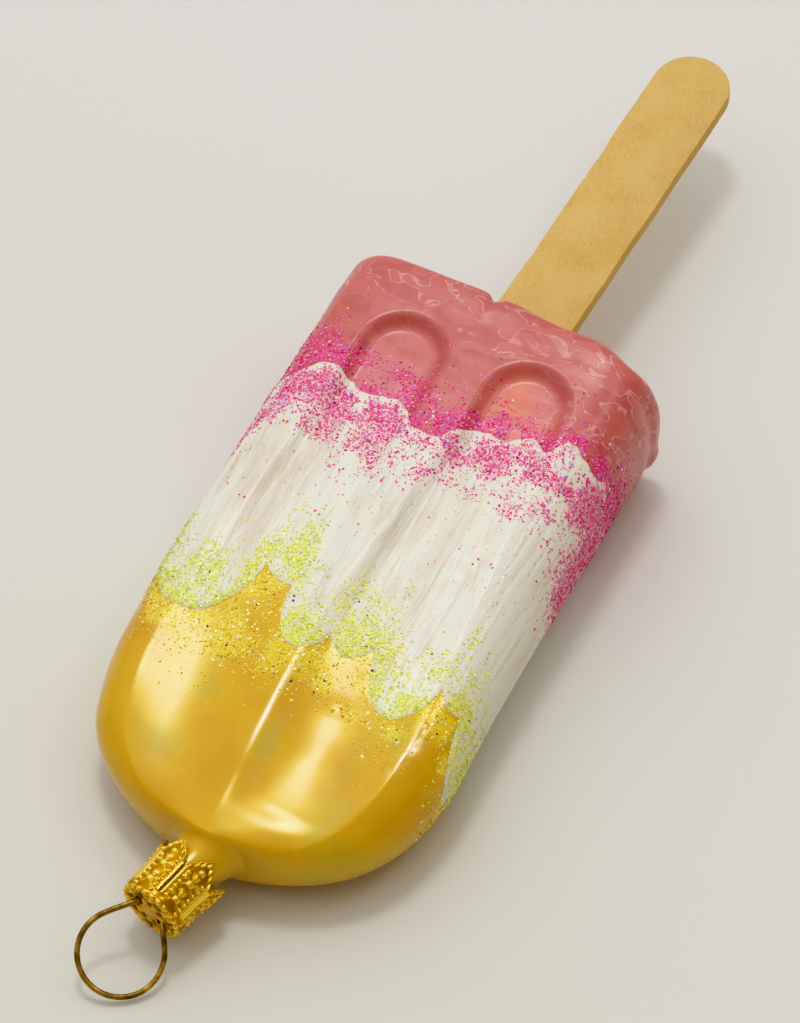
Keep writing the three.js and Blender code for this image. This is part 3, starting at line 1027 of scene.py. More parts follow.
@dataclass(frozen=True)
class GiltSheet:
    """Thin gilt brass sheet, pressed in a die. Its colour follows the relief's height:
    painted shade, dark brown, in its hollows and holes and over the low end plate, and a
    painted highlight, bright yellow, on its raised parts.
    """

    name: str = "pressed_gilt_brass"
    gilt: str = "#D89C1A"
    # Painted highlight on the raised relief
    bright: str = "#FFE066"
    # Painted shade in the hollows and on the plate
    hollow: str = "#5E3C06"
    dull_mm: float = 0.6
    crimp_mm: float = 0.12

    def build(self) -> bpy.types.Material:
        """Makes the material."""
        material, tree, shader = new_material(self.name)
        height = add_node(tree, "ShaderNodeAttribute", attribute_name="relief")
        # Painted shade, dark brown, where the relief is low; painted highlight, bright yellow, where it is
        # high
        colour = add_node(tree, "ShaderNodeValToRGB", {"Fac": height.outputs["Fac"]}, stops=(
            (0.0, self.hollow), (0.35, self.gilt), (1.0, self.bright)))
        place = add_node(tree, "ShaderNodeTexCoord").outputs["Object"]
        dull = add_node(tree, "ShaderNodeTexNoise", {
            "Vector": place, "Scale": 1 / (self.dull_mm * MM), "Detail": 3.0})
        gloss = add_node(tree, "ShaderNodeMapRange", {
            "Value": dull.outputs["Fac"], "To Min": 0.1, "To Max": 0.26})
        crimp = add_node(tree, "ShaderNodeBump", {
            "Height": dull.outputs["Fac"], "Strength": 0.5, "Distance": self.crimp_mm * MM})
        tree.links.new(colour.outputs["Color"], shader.inputs["Base Color"])
        tree.links.new(gloss.outputs["Result"], shader.inputs["Roughness"])
        tree.links.new(crimp.outputs["Normal"], shader.inputs["Normal"])
        shader.inputs["Metallic"].default_value = 1.0
        return material


@dataclass(frozen=True)
class AgedWire:
    """Drawn brass wire, darkened to antique brass and rubbed bright here and there."""

    name: str = "antique_brass_wire"
    dark: str = "#4A371C"
    brass: str = "#9C7C44"
    rubbed: str = "#E2B363"
    patina_mm: float = 1.6

    def build(self) -> bpy.types.Material:
        """Makes the material."""
        material, tree, shader = new_material(self.name)
        place = add_node(tree, "ShaderNodeTexCoord").outputs["Object"]
        patina = add_node(tree, "ShaderNodeTexNoise", {
            "Vector": place, "Scale": 1 / (self.patina_mm * MM), "Detail": 4.0})
        colour = add_node(tree, "ShaderNodeValToRGB", {"Fac": patina.outputs["Fac"]}, stops=(
            (0.3, self.dark), (0.52, self.brass), (0.72, self.rubbed)))
        gloss = add_node(tree, "ShaderNodeMapRange", {
            "Value": patina.outputs["Fac"], "To Min": 0.34, "To Max": 0.18})
        tree.links.new(colour.outputs["Color"], shader.inputs["Base Color"])
        tree.links.new(gloss.outputs["Result"], shader.inputs["Roughness"])
        shader.inputs["Metallic"].default_value = 1.0
        return material


@dataclass(frozen=True)
class CraftBirch:
    """Pale birch veneer, stamped out and left raw: matt, with short fibres and specks."""

    name: str = "raw_birch_veneer"
    pale: str = "#E2BE75"
    mid: str = "#DDB86E"
    fibre: str = "#D3AC62"
    fleck: str = "#A9824A"
    grain_mm: float = 0.22
    run_mm: float = 0.7
    shade_mm: float = 6.0
    tooth_mm: float = 0.08
    roughness: float = 0.78

    def build(self) -> bpy.types.Material:
        """Makes the material."""
        material, tree, shader = new_material(self.name)
        place = add_node(tree, "ShaderNodeTexCoord").outputs["Object"]
        across, run = 1 / (self.grain_mm * MM), 1 / (self.run_mm * MM)
        drawn = add_node(tree, "ShaderNodeMapping", {"Vector": place, "Scale": (across, run, across)})
        short = add_node(tree, "ShaderNodeMapping", {
            "Vector": place, "Scale": (1.2 * across, 2.2 * run, across), "Rotation": (0, 0, 0.6)})
        grain = add_node(tree, "ShaderNodeTexNoise", {
            "Vector": drawn.outputs[0], "Scale": 1.0, "Detail": 5.0})
        broad = add_node(tree, "ShaderNodeTexNoise", {
            "Vector": place, "Scale": 1 / (self.shade_mm * MM), "Detail": 2.0})
        specks = add_node(tree, "ShaderNodeTexNoise", {
            "Vector": short.outputs[0], "Scale": 1.0, "Detail": 2.0})
        tone = add_node(tree, "ShaderNodeMix", {
            0: 0.45, 2: grain.outputs["Fac"], 3: broad.outputs["Fac"]}, data_type="FLOAT")
        wood = add_node(tree, "ShaderNodeValToRGB", {"Fac": tone.outputs[0]}, stops=(
            (0.34, self.fibre), (0.48, self.mid), (0.6, self.pale)))
        few = add_node(tree, "ShaderNodeMapRange", {
            "Value": specks.outputs["Fac"], "From Min": 0.68, "From Max": 0.78, "To Max": 0.55})
        colour = add_node(tree, "ShaderNodeMix", {
            0: few.outputs["Result"], 6: wood.outputs["Color"], 7: linear(self.fleck)}, data_type="RGBA")
        tooth = add_node(tree, "ShaderNodeBump", {
            "Height": grain.outputs["Fac"], "Strength": 0.35, "Distance": self.tooth_mm * MM})
        tree.links.new(colour.outputs[2], shader.inputs["Base Color"])
        tree.links.new(tooth.outputs["Normal"], shader.inputs["Normal"])
        shader.inputs["Roughness"].default_value = self.roughness
        return material


@dataclass(frozen=True)
class TableTop:
    """Matt off-white laminate that the ornament lies on, with painted shade that makes it warmer and a little
    darker towards the camera's side.
    """

    name: str = "pale_table_top"
    pale: str = "#E4E4E0"
    warm: str = "#DFDCCE"
    cloud_mm: float = 60.0
    roughness: float = 0.5

    def build(self) -> bpy.types.Material:
        """Makes the material."""
        material, tree, shader = new_material(self.name)
        place = add_node(tree, "ShaderNodeTexCoord").outputs["Object"]
        cloud = add_node(tree, "ShaderNodeTexNoise", {
            "Vector": place, "Scale": 1 / (self.cloud_mm * MM), "Detail": 2.0})
        # Painted shade: warmer and a little darker towards -Y, the camera's side
        parts = add_node(tree, "ShaderNodeSeparateXYZ", {"Vector": place})
        near = add_node(tree, "ShaderNodeMapRange", {
            "Value": parts.outputs["Y"], "From Min": 0.05, "From Max": -0.1, "To Max": 0.9})
        share = add_node(tree, "ShaderNodeMath", {
            0: cloud.outputs["Fac"], 1: 0.2, 2: near.outputs["Result"]}, operation="MULTIPLY_ADD")
        colour = add_node(tree, "ShaderNodeMix", {
            0: share.outputs[0], 6: linear(self.pale), 7: linear(self.warm)}, data_type="RGBA")
        tree.links.new(colour.outputs[2], shader.inputs["Base Color"])
        shader.inputs["Roughness"].default_value = self.roughness
        return material


@dataclass
class GlassBody:
    """The blown glass with its neck, under clear pearl gold lacquer."""

    form: PopForm
    coats: Lacquers
    columns: int = 400
    neck_rows: int = 26
    tip_rows: int = 84
    gold_rows: int = 56
    covered_rows: int = 40
    end_rows: int = 12
    # Marks on it
    dimples: tuple[Spot, ...] = (Spot(7.2, 20.4, 1.5, 1.1, -0.13), Spot(8.0, 14.2, 1.6, 2.0, -0.04))
    uneven: float = 0.03
    crinkle: float = 0.05
    clouds: tuple[Spot, ...] = (
        Spot(2.3, 12, 1.1, 6, 0.4), Spot(12.3, 13, 1.4, 6, 0.3), Spot(16, 9, 1.8, 4, 0.3),
        Spot(-13, 7, 3, 3, 0.35))
    tip_cloud: Spot = Spot(0, 4.8, 1.5, 0.7, 0.9)

    def build(self) -> bpy.types.Object:
        """Makes the piece that stands for the glass solid."""
        form = self.form
        gold_end = self.coats.base_edge + 3
        along = np.concatenate([
            np.linspace(-form.neck_length, 0, self.neck_rows, endpoint=False),
            form.tip_round_wide * np.linspace(0, 1, self.tip_rows) ** 2.3,
            np.linspace(form.tip_round_wide, gold_end, self.gold_rows)[1:],
            np.linspace(gold_end, form.edge_start, self.covered_rows)[1:],
            np.linspace(form.edge_start, form.last, self.end_rows)[1:],
        ])
        girth, along = np.meshgrid(np.linspace(-GIRTH / 2, GIRTH / 2, self.columns + 1), along)
        lift = self.coats.glass_lift(girth, along) + self.dents(girth, along)
        points = form.place(form.skin(girth, along, lift))
        mouth = np.broadcast_to(points[:1, :-1].mean(axis=1, keepdims=True), points[:1].shape)
        of_skin = {"silver": self.silver, "haze": self.haze, "gold_dust": GlitterBands(self.coats).gold}
        closing = np.zeros_like(girth[:1])
        layers = {name: np.concatenate([closing, of(girth, along)]) for name, of in of_skin.items()}
        glass = wrapped_grid("glass_body_skin", np.concatenate([mouth, points]), layers)
        finish_piece(glass, Slot.GLASS, PearlGold().build())
        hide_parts("glass_body")
        return glass

    def dents(self, girth: Array, along: Array) -> Array:
        """Shallow dimples and unevenness of the blown glass, mm."""
        uneven = self.uneven * SkinNoise(31, 6.0, 7.0)(girth, along) * smooth(4, 12, along)
        crinkled = bump(girth, self.right_ridge(along), 1.0) * smooth(15, 19, along)
        pimples = np.maximum(0, SkinNoise(33, 0.7, 0.7)(girth, along))
        pimpled = pimples * bump(girth, 23.5, 3) * smooth(10, 15, along)
        fine = self.crinkle * (crinkled * SkinNoise(34, 0.6, 0.8)(girth, along) + pimpled)
        return spots(self.dimples, girth, along) + uneven + fine

    def haze(self, girth: Array, along: Array) -> Array:
        """Olive-grey clouds, where the tint over the silver is thin."""
        slanted = girth - 11.2 - 1.3 * (along - 4.6)
        clouds = self.tip_cloud(slanted, along) + spots(self.clouds, girth, along)
        patchy = 0.65 + 0.35 * SkinNoise(35, 1.2, 2.4)(girth, along)
        return np.clip(clouds * patchy, 0, 1)

    def silver(self, girth: Array, along: Array) -> Array:
        """Share of bare silver, where the gold is worn thin on the ridges."""
        patchy = 0.5 + 0.5 * SkinNoise(32, 0.5, 1.6)(girth, along)
        worn = smooth(-0.5, 0.3, SkinNoise(36, 0.35, 0.6)(girth, along))
        centre = bump(girth, 0.15 + 0.03 * (along - 14), 0.3) * smooth(9, 15, along) * smooth(29, 24, along)
        right = bump(girth, self.right_ridge(along), 0.8) * smooth(14, 18, along) * smooth(29, 25, along)
        left = bump(girth, -17.6, 0.35) * smooth(19, 21, along) * smooth(26, 23, along)
        ridges = centre * mix(0.45, 0.9, patchy) + right * worn * mix(0.3, 1, patchy)
        return np.clip(ridges + left * patchy * 0.7, 0, 1)

    @staticmethod
    def right_ridge(along: Array) -> Array:
        """Girth at which the ridge beside the right flute runs."""
        return 17.4 + 0.13 * (along - 16)


@dataclass
class WhiteCoat:
    """The band of white lacquer, its ends drawn out by the brush."""

    form: PopForm
    coats: Lacquers
    columns: int = 800
    middle_rows: int = 92
    inner_rows: int = 8
    inner_depth: float = 0.12
    scraped: tuple[Spot, ...] = (
        Spot(-13, 43, 3.4, 11, 0.2), Spot(8.5, 40, 1.6, 11, 0.12), Spot(2, 44, 1.2, 10, 0.08))
    loaded: Hills = ((0.1, -5.5, 2.5), (0.1, 15.5, 3.5), (0.1, -21.3, 1.6))
    lip_steps: tuple[float, ...] = (0.0, 0.03, 0.08, 0.15, 0.25, 0.38, 0.55, 0.8)

    def build(self) -> bpy.types.Object:
        """Makes the closed shell of the coat."""
        girth = np.linspace(-GIRTH / 2, GIRTH / 2, self.columns + 1)
        low, top = self.coats.lower_edge(girth), self.coats.upper_edge(girth)
        steps = np.array(self.lip_steps)
        shares = np.linspace(0, 1, self.middle_rows + 2)[1:-1, None]
        first, last = low + steps[-1], top - steps[-1]
        outer = np.concatenate([low + steps[:, None], mix(first, last, shares), top - steps[::-1, None]])
        back = np.linspace(1, 0, self.inner_rows)[:, None]
        inner = mix(low, top, back)
        along = np.concatenate([outer, inner, outer[:1]])
        girth = np.broadcast_to(girth, along.shape)
        face = self.coats.white_lift(girth[:len(outer)], outer)
        under = self.coats.ground_lift(inner) - self.inner_depth
        lift = np.concatenate([face, under, face[:1]])
        points = self.form.place(self.form.skin(girth, along, lift))
        bands = GlitterBands(self.coats)
        white = wrapped_grid("white_coat", points, {
            "thin": self.thin(girth, along), "pink_dust": bands.pink(girth, along),
            "lime_dust": bands.lime(girth, along)})
        finish_piece(white, Slot.WHITE, BrushedWhite().build())
        return white

    def thin(self, girth: Array, along: Array) -> Array:
        """Where the brush scraped the coat thin, as a share to add."""
        return spots(self.scraped, girth, along) - hills(girth, self.loaded)


@dataclass
class CoralCoat:
    """The coral lacquer over the square end, with the stick's end glued into it."""

    form: PopForm
    coats: Lacquers
    columns: int = 640
    body_rows: int = 84
    edge_rows: int = 16
    face_rows: int = 16
    inner_rows: int = 14
    # The inner face has few rows, so it lies deep enough not to cut the arches' walls
    inner_depth: float = 0.6
    webbed: Hills = ((1.1, 75.5, 3.0), (0.9, 72.6, 1.5))
    warm: tuple[Spot, ...] = (Spot(6.4, 66, 2.2, 3.6), Spot(9.2, 63.4, 2, 1.8, 0.8))
    front_end: float = 75.0

    def build(self) -> bpy.types.Object:
        """Makes the closed shell of the coat."""
        form = self.form
        girth = np.linspace(-GIRTH / 2, GIRTH / 2, self.columns + 1)
        low = self.coats.coral_edge(girth)
        top = form.edge_start
        shares = np.linspace(0, 1, self.body_rows)[:, None] ** 1.15
        flat = np.ones_like(girth)
        edge = np.linspace(top, form.face_start, self.edge_rows)[1:, None] * flat
        face = np.linspace(form.face_start, form.last, self.face_rows)[1:, None] * flat
        outer = np.concatenate([mix(low, top, shares), edge, face])
        inner = np.concatenate([face[::-4], mix(low, top, np.linspace(1, 0, self.inner_rows)[:, None])])
        along = np.concatenate([outer, inner, outer[:1]])
        girth = np.broadcast_to(girth, along.shape)
        front = self.coats.coral_lift(girth[:len(outer)], outer)
        under = self.coats.ground_lift(inner) - self.inner_depth
        lift = np.concatenate([front, under, front[:1]])
        points = form.place(form.skin(girth, along, lift))
        coral = wrapped_grid("coral_coat", points, {
            "web": self.web(girth, along), "orange": self.orange(girth, along),
            "painted_wall_shade": self.painted_wall_shade(girth, along), "floor": self.floor(girth, along),
            "pink_dust": GlitterBands(self.coats).pink(girth, along)})
        finish_piece(coral, Slot.CORAL, WrinkledCoral().build())
        return coral

    def web(self, girth: Array, along: Array) -> Array:
        """Where the skin is wrinkled most and its ridges get the pale painted highlight: round the arches and
        along the square end.
        """
        corner = bump(girth, 18, 6) * smooth(63, 67, along)
        clumped = smooth(0.3, 0.75, 0.5 + 0.5 * SkinNoise(41, 6.0, 3.0)(girth, along))
        return np.clip((hills(along, self.webbed) + corner) * mix(0.1, 1.1, clumped) + 0.08, 0, 1)

    def painted_wall_shade(self, girth: Array, along: Array) -> Array:
        """Painted shade on the arches' walls, darkest under their tops."""
        top = mix(0.1, 0.75, smooth(66, 70, along))
        return self.form.arch_wall(girth, np.minimum(along, self.front_end)) * top

    def floor(self, girth: Array, along: Array) -> Array:
        """Painted light: where a lighter colour is laid on the arches' floors."""
        y = np.minimum(along, self.front_end)
        deep = self.form.flute(self.form.surface(girth, y)[..., 0], y)
        return 0.2 * smooth(0.7, 1.1, deep) * smooth(55, 62, along) * (np.abs(girth) < QUARTER)

    def orange(self, girth: Array, along: Array) -> Array:
        """Where the right arch's coat is tinted orange."""
        patchy = 0.7 + 0.3 * SkinNoise(42, 1.2, 1.0)(girth, along)
        return np.clip(spots(self.warm, girth, along) * patchy * 0.85, 0, 1)


@dataclass
class Glitter:
    """Flakes of cut film, dusted on while the lacquer was wet."""

    name: str
    form: PopForm
    coats: Lacquers
    slot: Slot
    finish: GlitterFilm
    density: Callable[[Array, Array], Array]
    span: tuple[float, float]
    drawn: int
    seed: int
    radius: tuple[float, float] = (0.09, 0.16)
    tilt: float = 0.3
    sides: int = 6
    mirrors: float = 0.07
    thickness: float = 0.03
    loose: float = 0.05
    above_table: float = 0.05

    def build(self) -> bpy.types.Object:
        """Makes all the flakes as one joined mesh."""
        rng = np.random.default_rng(self.seed)
        points = self._flakes(rng)
        n = self.sides
        faces = [(i, (i + 1) % n, n) for i in range(n)] + [((i + 1) % n, i, n + 1) for i in range(n)]
        faces = (np.array(faces)[None] + (n + 2) * np.arange(len(points))[:, None, None]).reshape(-1, 3)
        mesh = bpy.data.meshes.new(self.name)
        mesh.from_pydata(points.reshape(-1, 3).tolist(), [], faces.tolist())
        mirror = (rng.uniform(0, 1, len(points)) < self.mirrors).astype(float)
        for label, values in (("tint", rng.uniform(0, 1, len(points))), ("mirror", mirror)):
            layer = mesh.attributes.new(label, "FLOAT", "POINT")
            layer.data.foreach_set("value", np.repeat(values, n + 2).astype(np.float32))
        piece = bpy.data.objects.new(self.name, mesh)
        bpy.context.collection.objects.link(piece)
        finish_piece(piece, self.slot, self.finish.build())
        return piece

    def _flakes(self, rng: np.random.Generator) -> Array:
        """Strews the flakes, each a flat double cone on a few corners.

        Args:
            rng: Source of the random numbers.

        Returns:
            Points in metres: the corners of each flake, then its two poles.
        """
        girth = rng.uniform(-GIRTH / 2, GIRTH / 2, self.drawn)
        along = rng.uniform(*self.span, self.drawn)
        kept = rng.uniform(0, 1, self.drawn) < self.density(girth, along)
        girth, along = girth[kept], along[kept]
        count = len(girth)
        radius = rng.uniform(*self.radius, count)
        lift = self.coats.top_lift(girth, along) + rng.uniform(0.0, self.loose, count)
        normal = self.form.normal(girth, along)
        normal = normal + rng.normal(0, self.tilt, (count, 3))
        normal /= np.linalg.norm(normal, axis=1, keepdims=True)
        side = np.cross(normal, rng.normal(0, 1, (count, 3)))
        side /= np.linalg.norm(side, axis=1, keepdims=True)
        other = np.cross(normal, side)
        centre = self.form.skin(girth, along, lift)
        corners = np.arange(self.sides) * 2 * math.pi / self.sides
        ring = side[:, None] * np.cos(corners)[:, None] + other[:, None] * np.sin(corners)[:, None]
        ring = centre[:, None] + ring * radius[:, None, None]
        poles = centre[:, None] + normal[:, None] * (self.thickness * np.array([1, -1]))[:, None]
        points = self.form.place(np.concatenate([ring, poles], 1))
        return points[points[..., 2].min(axis=1) > self.above_table * MM]


@dataclass
class GlitterBands:
    """How thickly each glitter lies, read from the coats' edges."""

    coats: Lacquers
    pink_beds: tuple[Spot, ...] = (Spot(1, 3, 3.2, 3, 0.5), Spot(-19, 3, 3.5, 3.5, 0.55))
    gold_beds: tuple[Spot, ...] = (Spot(-9, 25, 5, 5.5, 0.75), Spot(9.5, 25, 3, 3.5, 0.5))

    def __post_init__(self) -> None:
        """Makes the noises that clump the flakes."""
        self.clump = SkinNoise(51, 2.2, 2.0)
        self.clump_wide = SkinNoise(52, 6.0, 4.0)
        self.clump_lime = SkinNoise(53, 2.0, 3.0)

    def pink(self, girth: Array, along: Array) -> Array:
        """Hot pink, thickest at the edge of the white over the coral."""
        up = along - self.coats.upper_edge(girth)
        clumps = mix(0.2, 1.35, smooth(-0.6, 0.5, self.clump(girth, along)))
        wide = 1 + 0.35 * self.clump_wide(girth, along)
        on_white = 0.82 * smooth(-11.5 * wide, -3.5, up) * mix(0.25, 1, smooth(-0.4, -1.8, up)) * (up < 0)
        on_coral = 0.78 * smooth(7.0 * wide, 0.2, up) ** 1.6 * (up >= 0)
        between = spots(self.pink_beds, girth, up)
        side = 0.95 * bump(np.abs(girth), 26.5, 3.4) * smooth(44, 50, along) * smooth(70, 64, along)
        stray = 0.008 * (along > 40) * (along < 72)
        return np.clip(np.maximum((on_white + on_coral + between) * clumps, side) + stray, 0, 1)

    def lime(self, girth: Array, along: Array) -> Array:
        """Lime, thickest on the ends of the white strokes."""
        up = along - self.coats.lower_edge(girth)
        clumps = mix(0.3, 1.3, smooth(-0.5, 0.6, self.clump_lime(girth, along)))
        band = 0.95 * smooth(12.5, 0.8, up) * (up > 0.1)
        side = 0.3 * bump(np.abs(girth), 25.0, 3.0) * bump(along, 26, 4) * (up > 0.1)
        stray = 0.006 * (along < 60) * (up > 0)
        return np.clip(band * clumps + side + stray, 0, 1)

    def gold(self, girth: Array, along: Array) -> Array:
        """Gold sparkle that fell on the glass just past the white."""
        up = along - self.coats.lower_edge(girth)
        clumps = mix(0.3, 1.4, smooth(-0.4, 0.5, self.clump(girth, along + 300)))
        wide = 1 + 0.5 * self.clump_wide(girth, along + 100)
        band = 0.8 * smooth(-8.0 * wide, -0.3, up) * (up < 0)
        deep = spots(self.gold_beds, girth, along) * (up < 0)
        stray = 0.004 * (along > 12) * (up < 0)
        return np.clip((band + deep) * clumps + stray, 0, 1)

    def black(self, girth: Array, along: Array) -> Array:
        """Few dark specks in all of the glitter."""
        pale = np.maximum(self.lime(girth, along), self.gold(girth, along))
        return 0.5 * np.maximum(self.pink(girth, along), pale)


@dataclass
class CrownCap:
    """Pressed sheet cap: a plate, a short skirt and pointed petals with relief."""

    form: PopForm
    radius: float = 4.05
    flare: float = 0.35
    start: float = 2.1
    length: float = 8.2
    petals: int = 6
    petal_turn: float = math.radians(40.4)
    point: float = 2.2
    slit: float = 0.34
    skirt: float = 1.0
    bevel: float = 0.5
    sheet: float = 0.2
    columns: int = 44
    plate_rows: int = 26
    corner_rows: int = 8
    side_rows: int = 84
    bead: float = 0.27
    bead_pitch: float = 0.76
    ring_turn: float = math.radians(28)
    leg_spread: float = 1.8

    def build(self) -> bpy.types.Object:
        """Makes the piece that stands for the cap's solid."""
        blocks = [self.petal(i) for i in range(self.petals)]
        points = np.concatenate([block[0] for block in blocks], 1)
        relief = np.concatenate([block[1] for block in blocks], 1)
        cap = wrapped_grid("crown_cap_sheet", points, {"relief": relief})
        wall = cap.modifiers.new("sheet", "SOLIDIFY")
        wall.thickness = self.sheet * MM
        wall.offset = -1
        bpy.ops.object.modifier_apply(modifier=wall.name)
        finish_piece(cap, Slot.CAP, GiltSheet().build())
        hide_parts("crown_cap")
        return cap

    def petal(self, index: int) -> tuple[Array, Array]:
        """One sixth of the cap, from the plate's middle to the petal's gable.

        Args:
            index: Which petal.

        Returns:
            Points in the part's frame and the relief's share at each.
        """
        half = math.pi / self.petals
        wide = self.radius * half
        share = np.linspace(-1, 1, self.columns)
        plate = np.linspace(0, 1, self.plate_rows)[:, None] * (self.radius - self.bevel) + 0 * share
        corner = np.linspace(0, math.pi / 2, self.corner_rows + 1)[1:, None] + 0 * share
        top = self.length - self.point * np.abs(share)
        rise = np.linspace(0, 1, self.side_rows + 1)[1:, None]
        up = self.bevel + (top - self.bevel) * rise
        centre_turn = self.petal_turn + 2 * half * index
        edge = (1 - (self.slit / 2 / wide) * smooth(self.skirt, self.skirt + 0.5, up)) * share
        turn_plate = centre_turn + half * share + 0 * plate
        turn_corner = centre_turn + half * share + 0 * corner
        turn_side = centre_turn + half * edge
        lift_plate = self._plate_relief(plate, turn_plate)
        lift_corner = 0.2 * np.abs(np.sin(turn_corner * 12)) * np.sin(corner * 2)
        across = wide * edge
        lift_side = self._petal_relief(across, up, wide)
        flare = self.flare * smooth(3, self.length, up)
        radius = np.concatenate([
            plate, self.radius - self.bevel + (self.bevel + lift_corner) * np.sin(corner),
            self.radius + flare + lift_side])
        out = np.concatenate([
            -lift_plate, self.bevel - (self.bevel + lift_corner) * np.cos(corner), up])
        turn = np.concatenate([turn_plate, turn_corner, turn_side])
        y = out - self.start - self.length
        points = np.stack([radius * np.sin(turn), y, radius * np.cos(turn)], -1)
        # The relief shares pick the cap's painted shade and highlight; the plate's low share paints it dark,
        # as in shade
        relief = np.concatenate([0.16 + lift_plate * 2.5, 0.24 + lift_corner * 4, 0.2 + lift_side * 3.6])
        return self.form.place(self.form.on_neck(points), keep_in=False), np.clip(relief, 0, 1)

    def _plate_relief(self, radius: Array, turn: Array) -> Array:
        """Relief of the end plate: a beaded rim, a low dome and the two wire holes."""
        beads = 0.2 * np.abs(np.sin(turn * 9)) * bump(radius, self.radius - 0.75, 0.3)
        lumps = 0.14 * np.sin(turn * 7 + 1) * np.sin(radius * 2.6) * smooth(0.4, 1.6, radius)
        dome = 0.12 * smooth(self.radius - 1.2, 0, radius) + lumps
        x, z = radius * np.sin(turn), radius * np.cos(turn)
        holes = 0.0
        for side in (-1, 1):
            hole_x = side * self.leg_spread * math.cos(self.ring_turn)
            hole_z = -side * self.leg_spread * math.sin(self.ring_turn)
            holes = holes + 0.5 * smooth(0.62, 0.45, np.hypot(x - hole_x, z - hole_z))
        return beads + dome - holes

    def _petal_relief(self, across: Array, up: Array, wide: float) -> Array:
        """Relief of a petal: folded rims, beaded borders and rosettes."""
        top = self.length - self.point * np.abs(across) / wide
        from_gable = (top - up) * math.cos(math.atan(self.point / wide))
        from_side = wide - np.abs(across)
        on_petal = smooth(self.skirt, self.skirt + 0.3, up)
        fold = np.sqrt(np.maximum(0, 1 - ((from_side - 0.3) / 0.3) ** 2))
        rim = 0.22 * on_petal * fold * smooth(0.2, 0.5, from_gable)
        gable_run = np.abs(across) * math.hypot(1, self.point / wide)
        gable = self._beads(gable_run, from_gable - 0.38)
        border = self._beads(up, from_side - 0.9) * smooth(0.7, 1.0, from_gable)
        shells = self._shell(across, up - 2.0) + self._shell(across + 0.1, up - 4.4)
        eye = 0.26 * np.sqrt(np.maximum(1 - (across**2 + (up - 6.3) ** 2) / 0.4**2, 0))
        hem = 0.12 * smooth(0.16, 0.06, from_gable)
        return rim + np.maximum(gable, border) + np.maximum(shells, eye) + hem

    def _beads(self, run: Array, away: Array) -> Array:
        """Row of round beads along a line."""
        nearest = (run / self.bead_pitch - np.round(run / self.bead_pitch)) * self.bead_pitch
        ball = 1 - (nearest**2 + away**2) / self.bead**2
        return 0.27 * np.sqrt(np.maximum(ball, 0))

    @staticmethod
    def _shell(across: Array, up: Array) -> Array:
        """Fan of seven ribs over a round boss, at places counted from the boss."""
        reach = np.hypot(across, up)
        turn = np.arctan2(across, up)
        ribs = 0.2 * np.cos(2.5 * turn) ** 2 * bump(reach, 0.9, 0.5) * smooth(2.7, 2.0, np.abs(turn))
        return np.maximum(ribs, 0.26 * np.sqrt(np.maximum(1 - (reach / 0.5) ** 2, 0)))


@dataclass
class HangerRing:
    """Round wire bent to a loop, its legs sprung into the neck."""

    form: PopForm
    wire: float = 0.34
    loop_radius: float = 5.05
    loop_reach: float = 5.6
    loop_offset: float = 1.15
    loop_from: float = math.radians(203)
    loop_to: float = math.radians(-52)
    bends: int = 20
    leg_spread: float = 1.8
    leg_depth: float = 4.2
    turn: float = math.radians(28)
    droop: float = math.radians(18)
    plate: float = -10.3

    def build(self) -> bpy.types.Object:
        """Makes the piece that stands for the ring's solid."""
        deselect()
        bpy.ops.curve.primitive_nurbs_path_add()
        ring = bpy.context.object
        ring.name = "hanger_ring_wire"
        path = self._path()
        spline = ring.data.splines[0]
        spline.points.add(len(path) - len(spline.points))
        for point, place in zip(spline.points, path):
            point.co = (*place, 1.0)
        spline.use_endpoint_u = True
        spline.order_u = 4
        ring.data.resolution_u = 8
        ring.data.bevel_depth = self.wire * MM
        ring.data.bevel_resolution = 5
        ring.data.use_fill_caps = True
        bpy.ops.object.convert(target="MESH")
        bpy.ops.object.shade_smooth()
        finish_piece(ring, Slot.RING, AgedWire().build())
        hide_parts("hanger_ring")
        return ring

    def _path(self) -> Array:
        """The wire's middle line in the part's frame, metres."""
        def outside(across: float, out: float) -> tuple[float, float, float]:
            """A point out of the plate, drooping."""
            return across, self.plate - out * math.cos(self.droop), -out * math.sin(self.droop)

        def inside(across: float, depth: float) -> tuple[float, float, float]:
            """A point in the neck."""
            return across, self.plate + depth, 0.0

        spread = self.leg_spread
        bends = [
            inside(1 - spread, self.leg_depth), inside(0.2 - spread, 1.6), inside(-spread, 0.2),
            outside(-spread - 0.55, 1.1)]
        for i in range(self.bends + 1):
            angle = mix(self.loop_from, self.loop_to, i / self.bends)
            bends.append(outside(
                self.loop_offset + self.loop_radius * math.cos(angle),
                self.loop_reach + self.loop_radius * math.sin(angle)))
        bends += [outside(spread + 0.95, 0.5), inside(spread, 0.2)]
        bends += [inside(spread - 0.5, 1.6), inside(spread - 1, self.leg_depth)]
        points = np.array(bends)
        c, s = math.cos(self.turn), math.sin(self.turn)
        x, z = points[:, 0], points[:, 2]
        points = np.stack([x * c + z * s, points[:, 1], z * c - x * s], -1)
        return self.form.place(self.form.on_neck(points), keep_in=False)


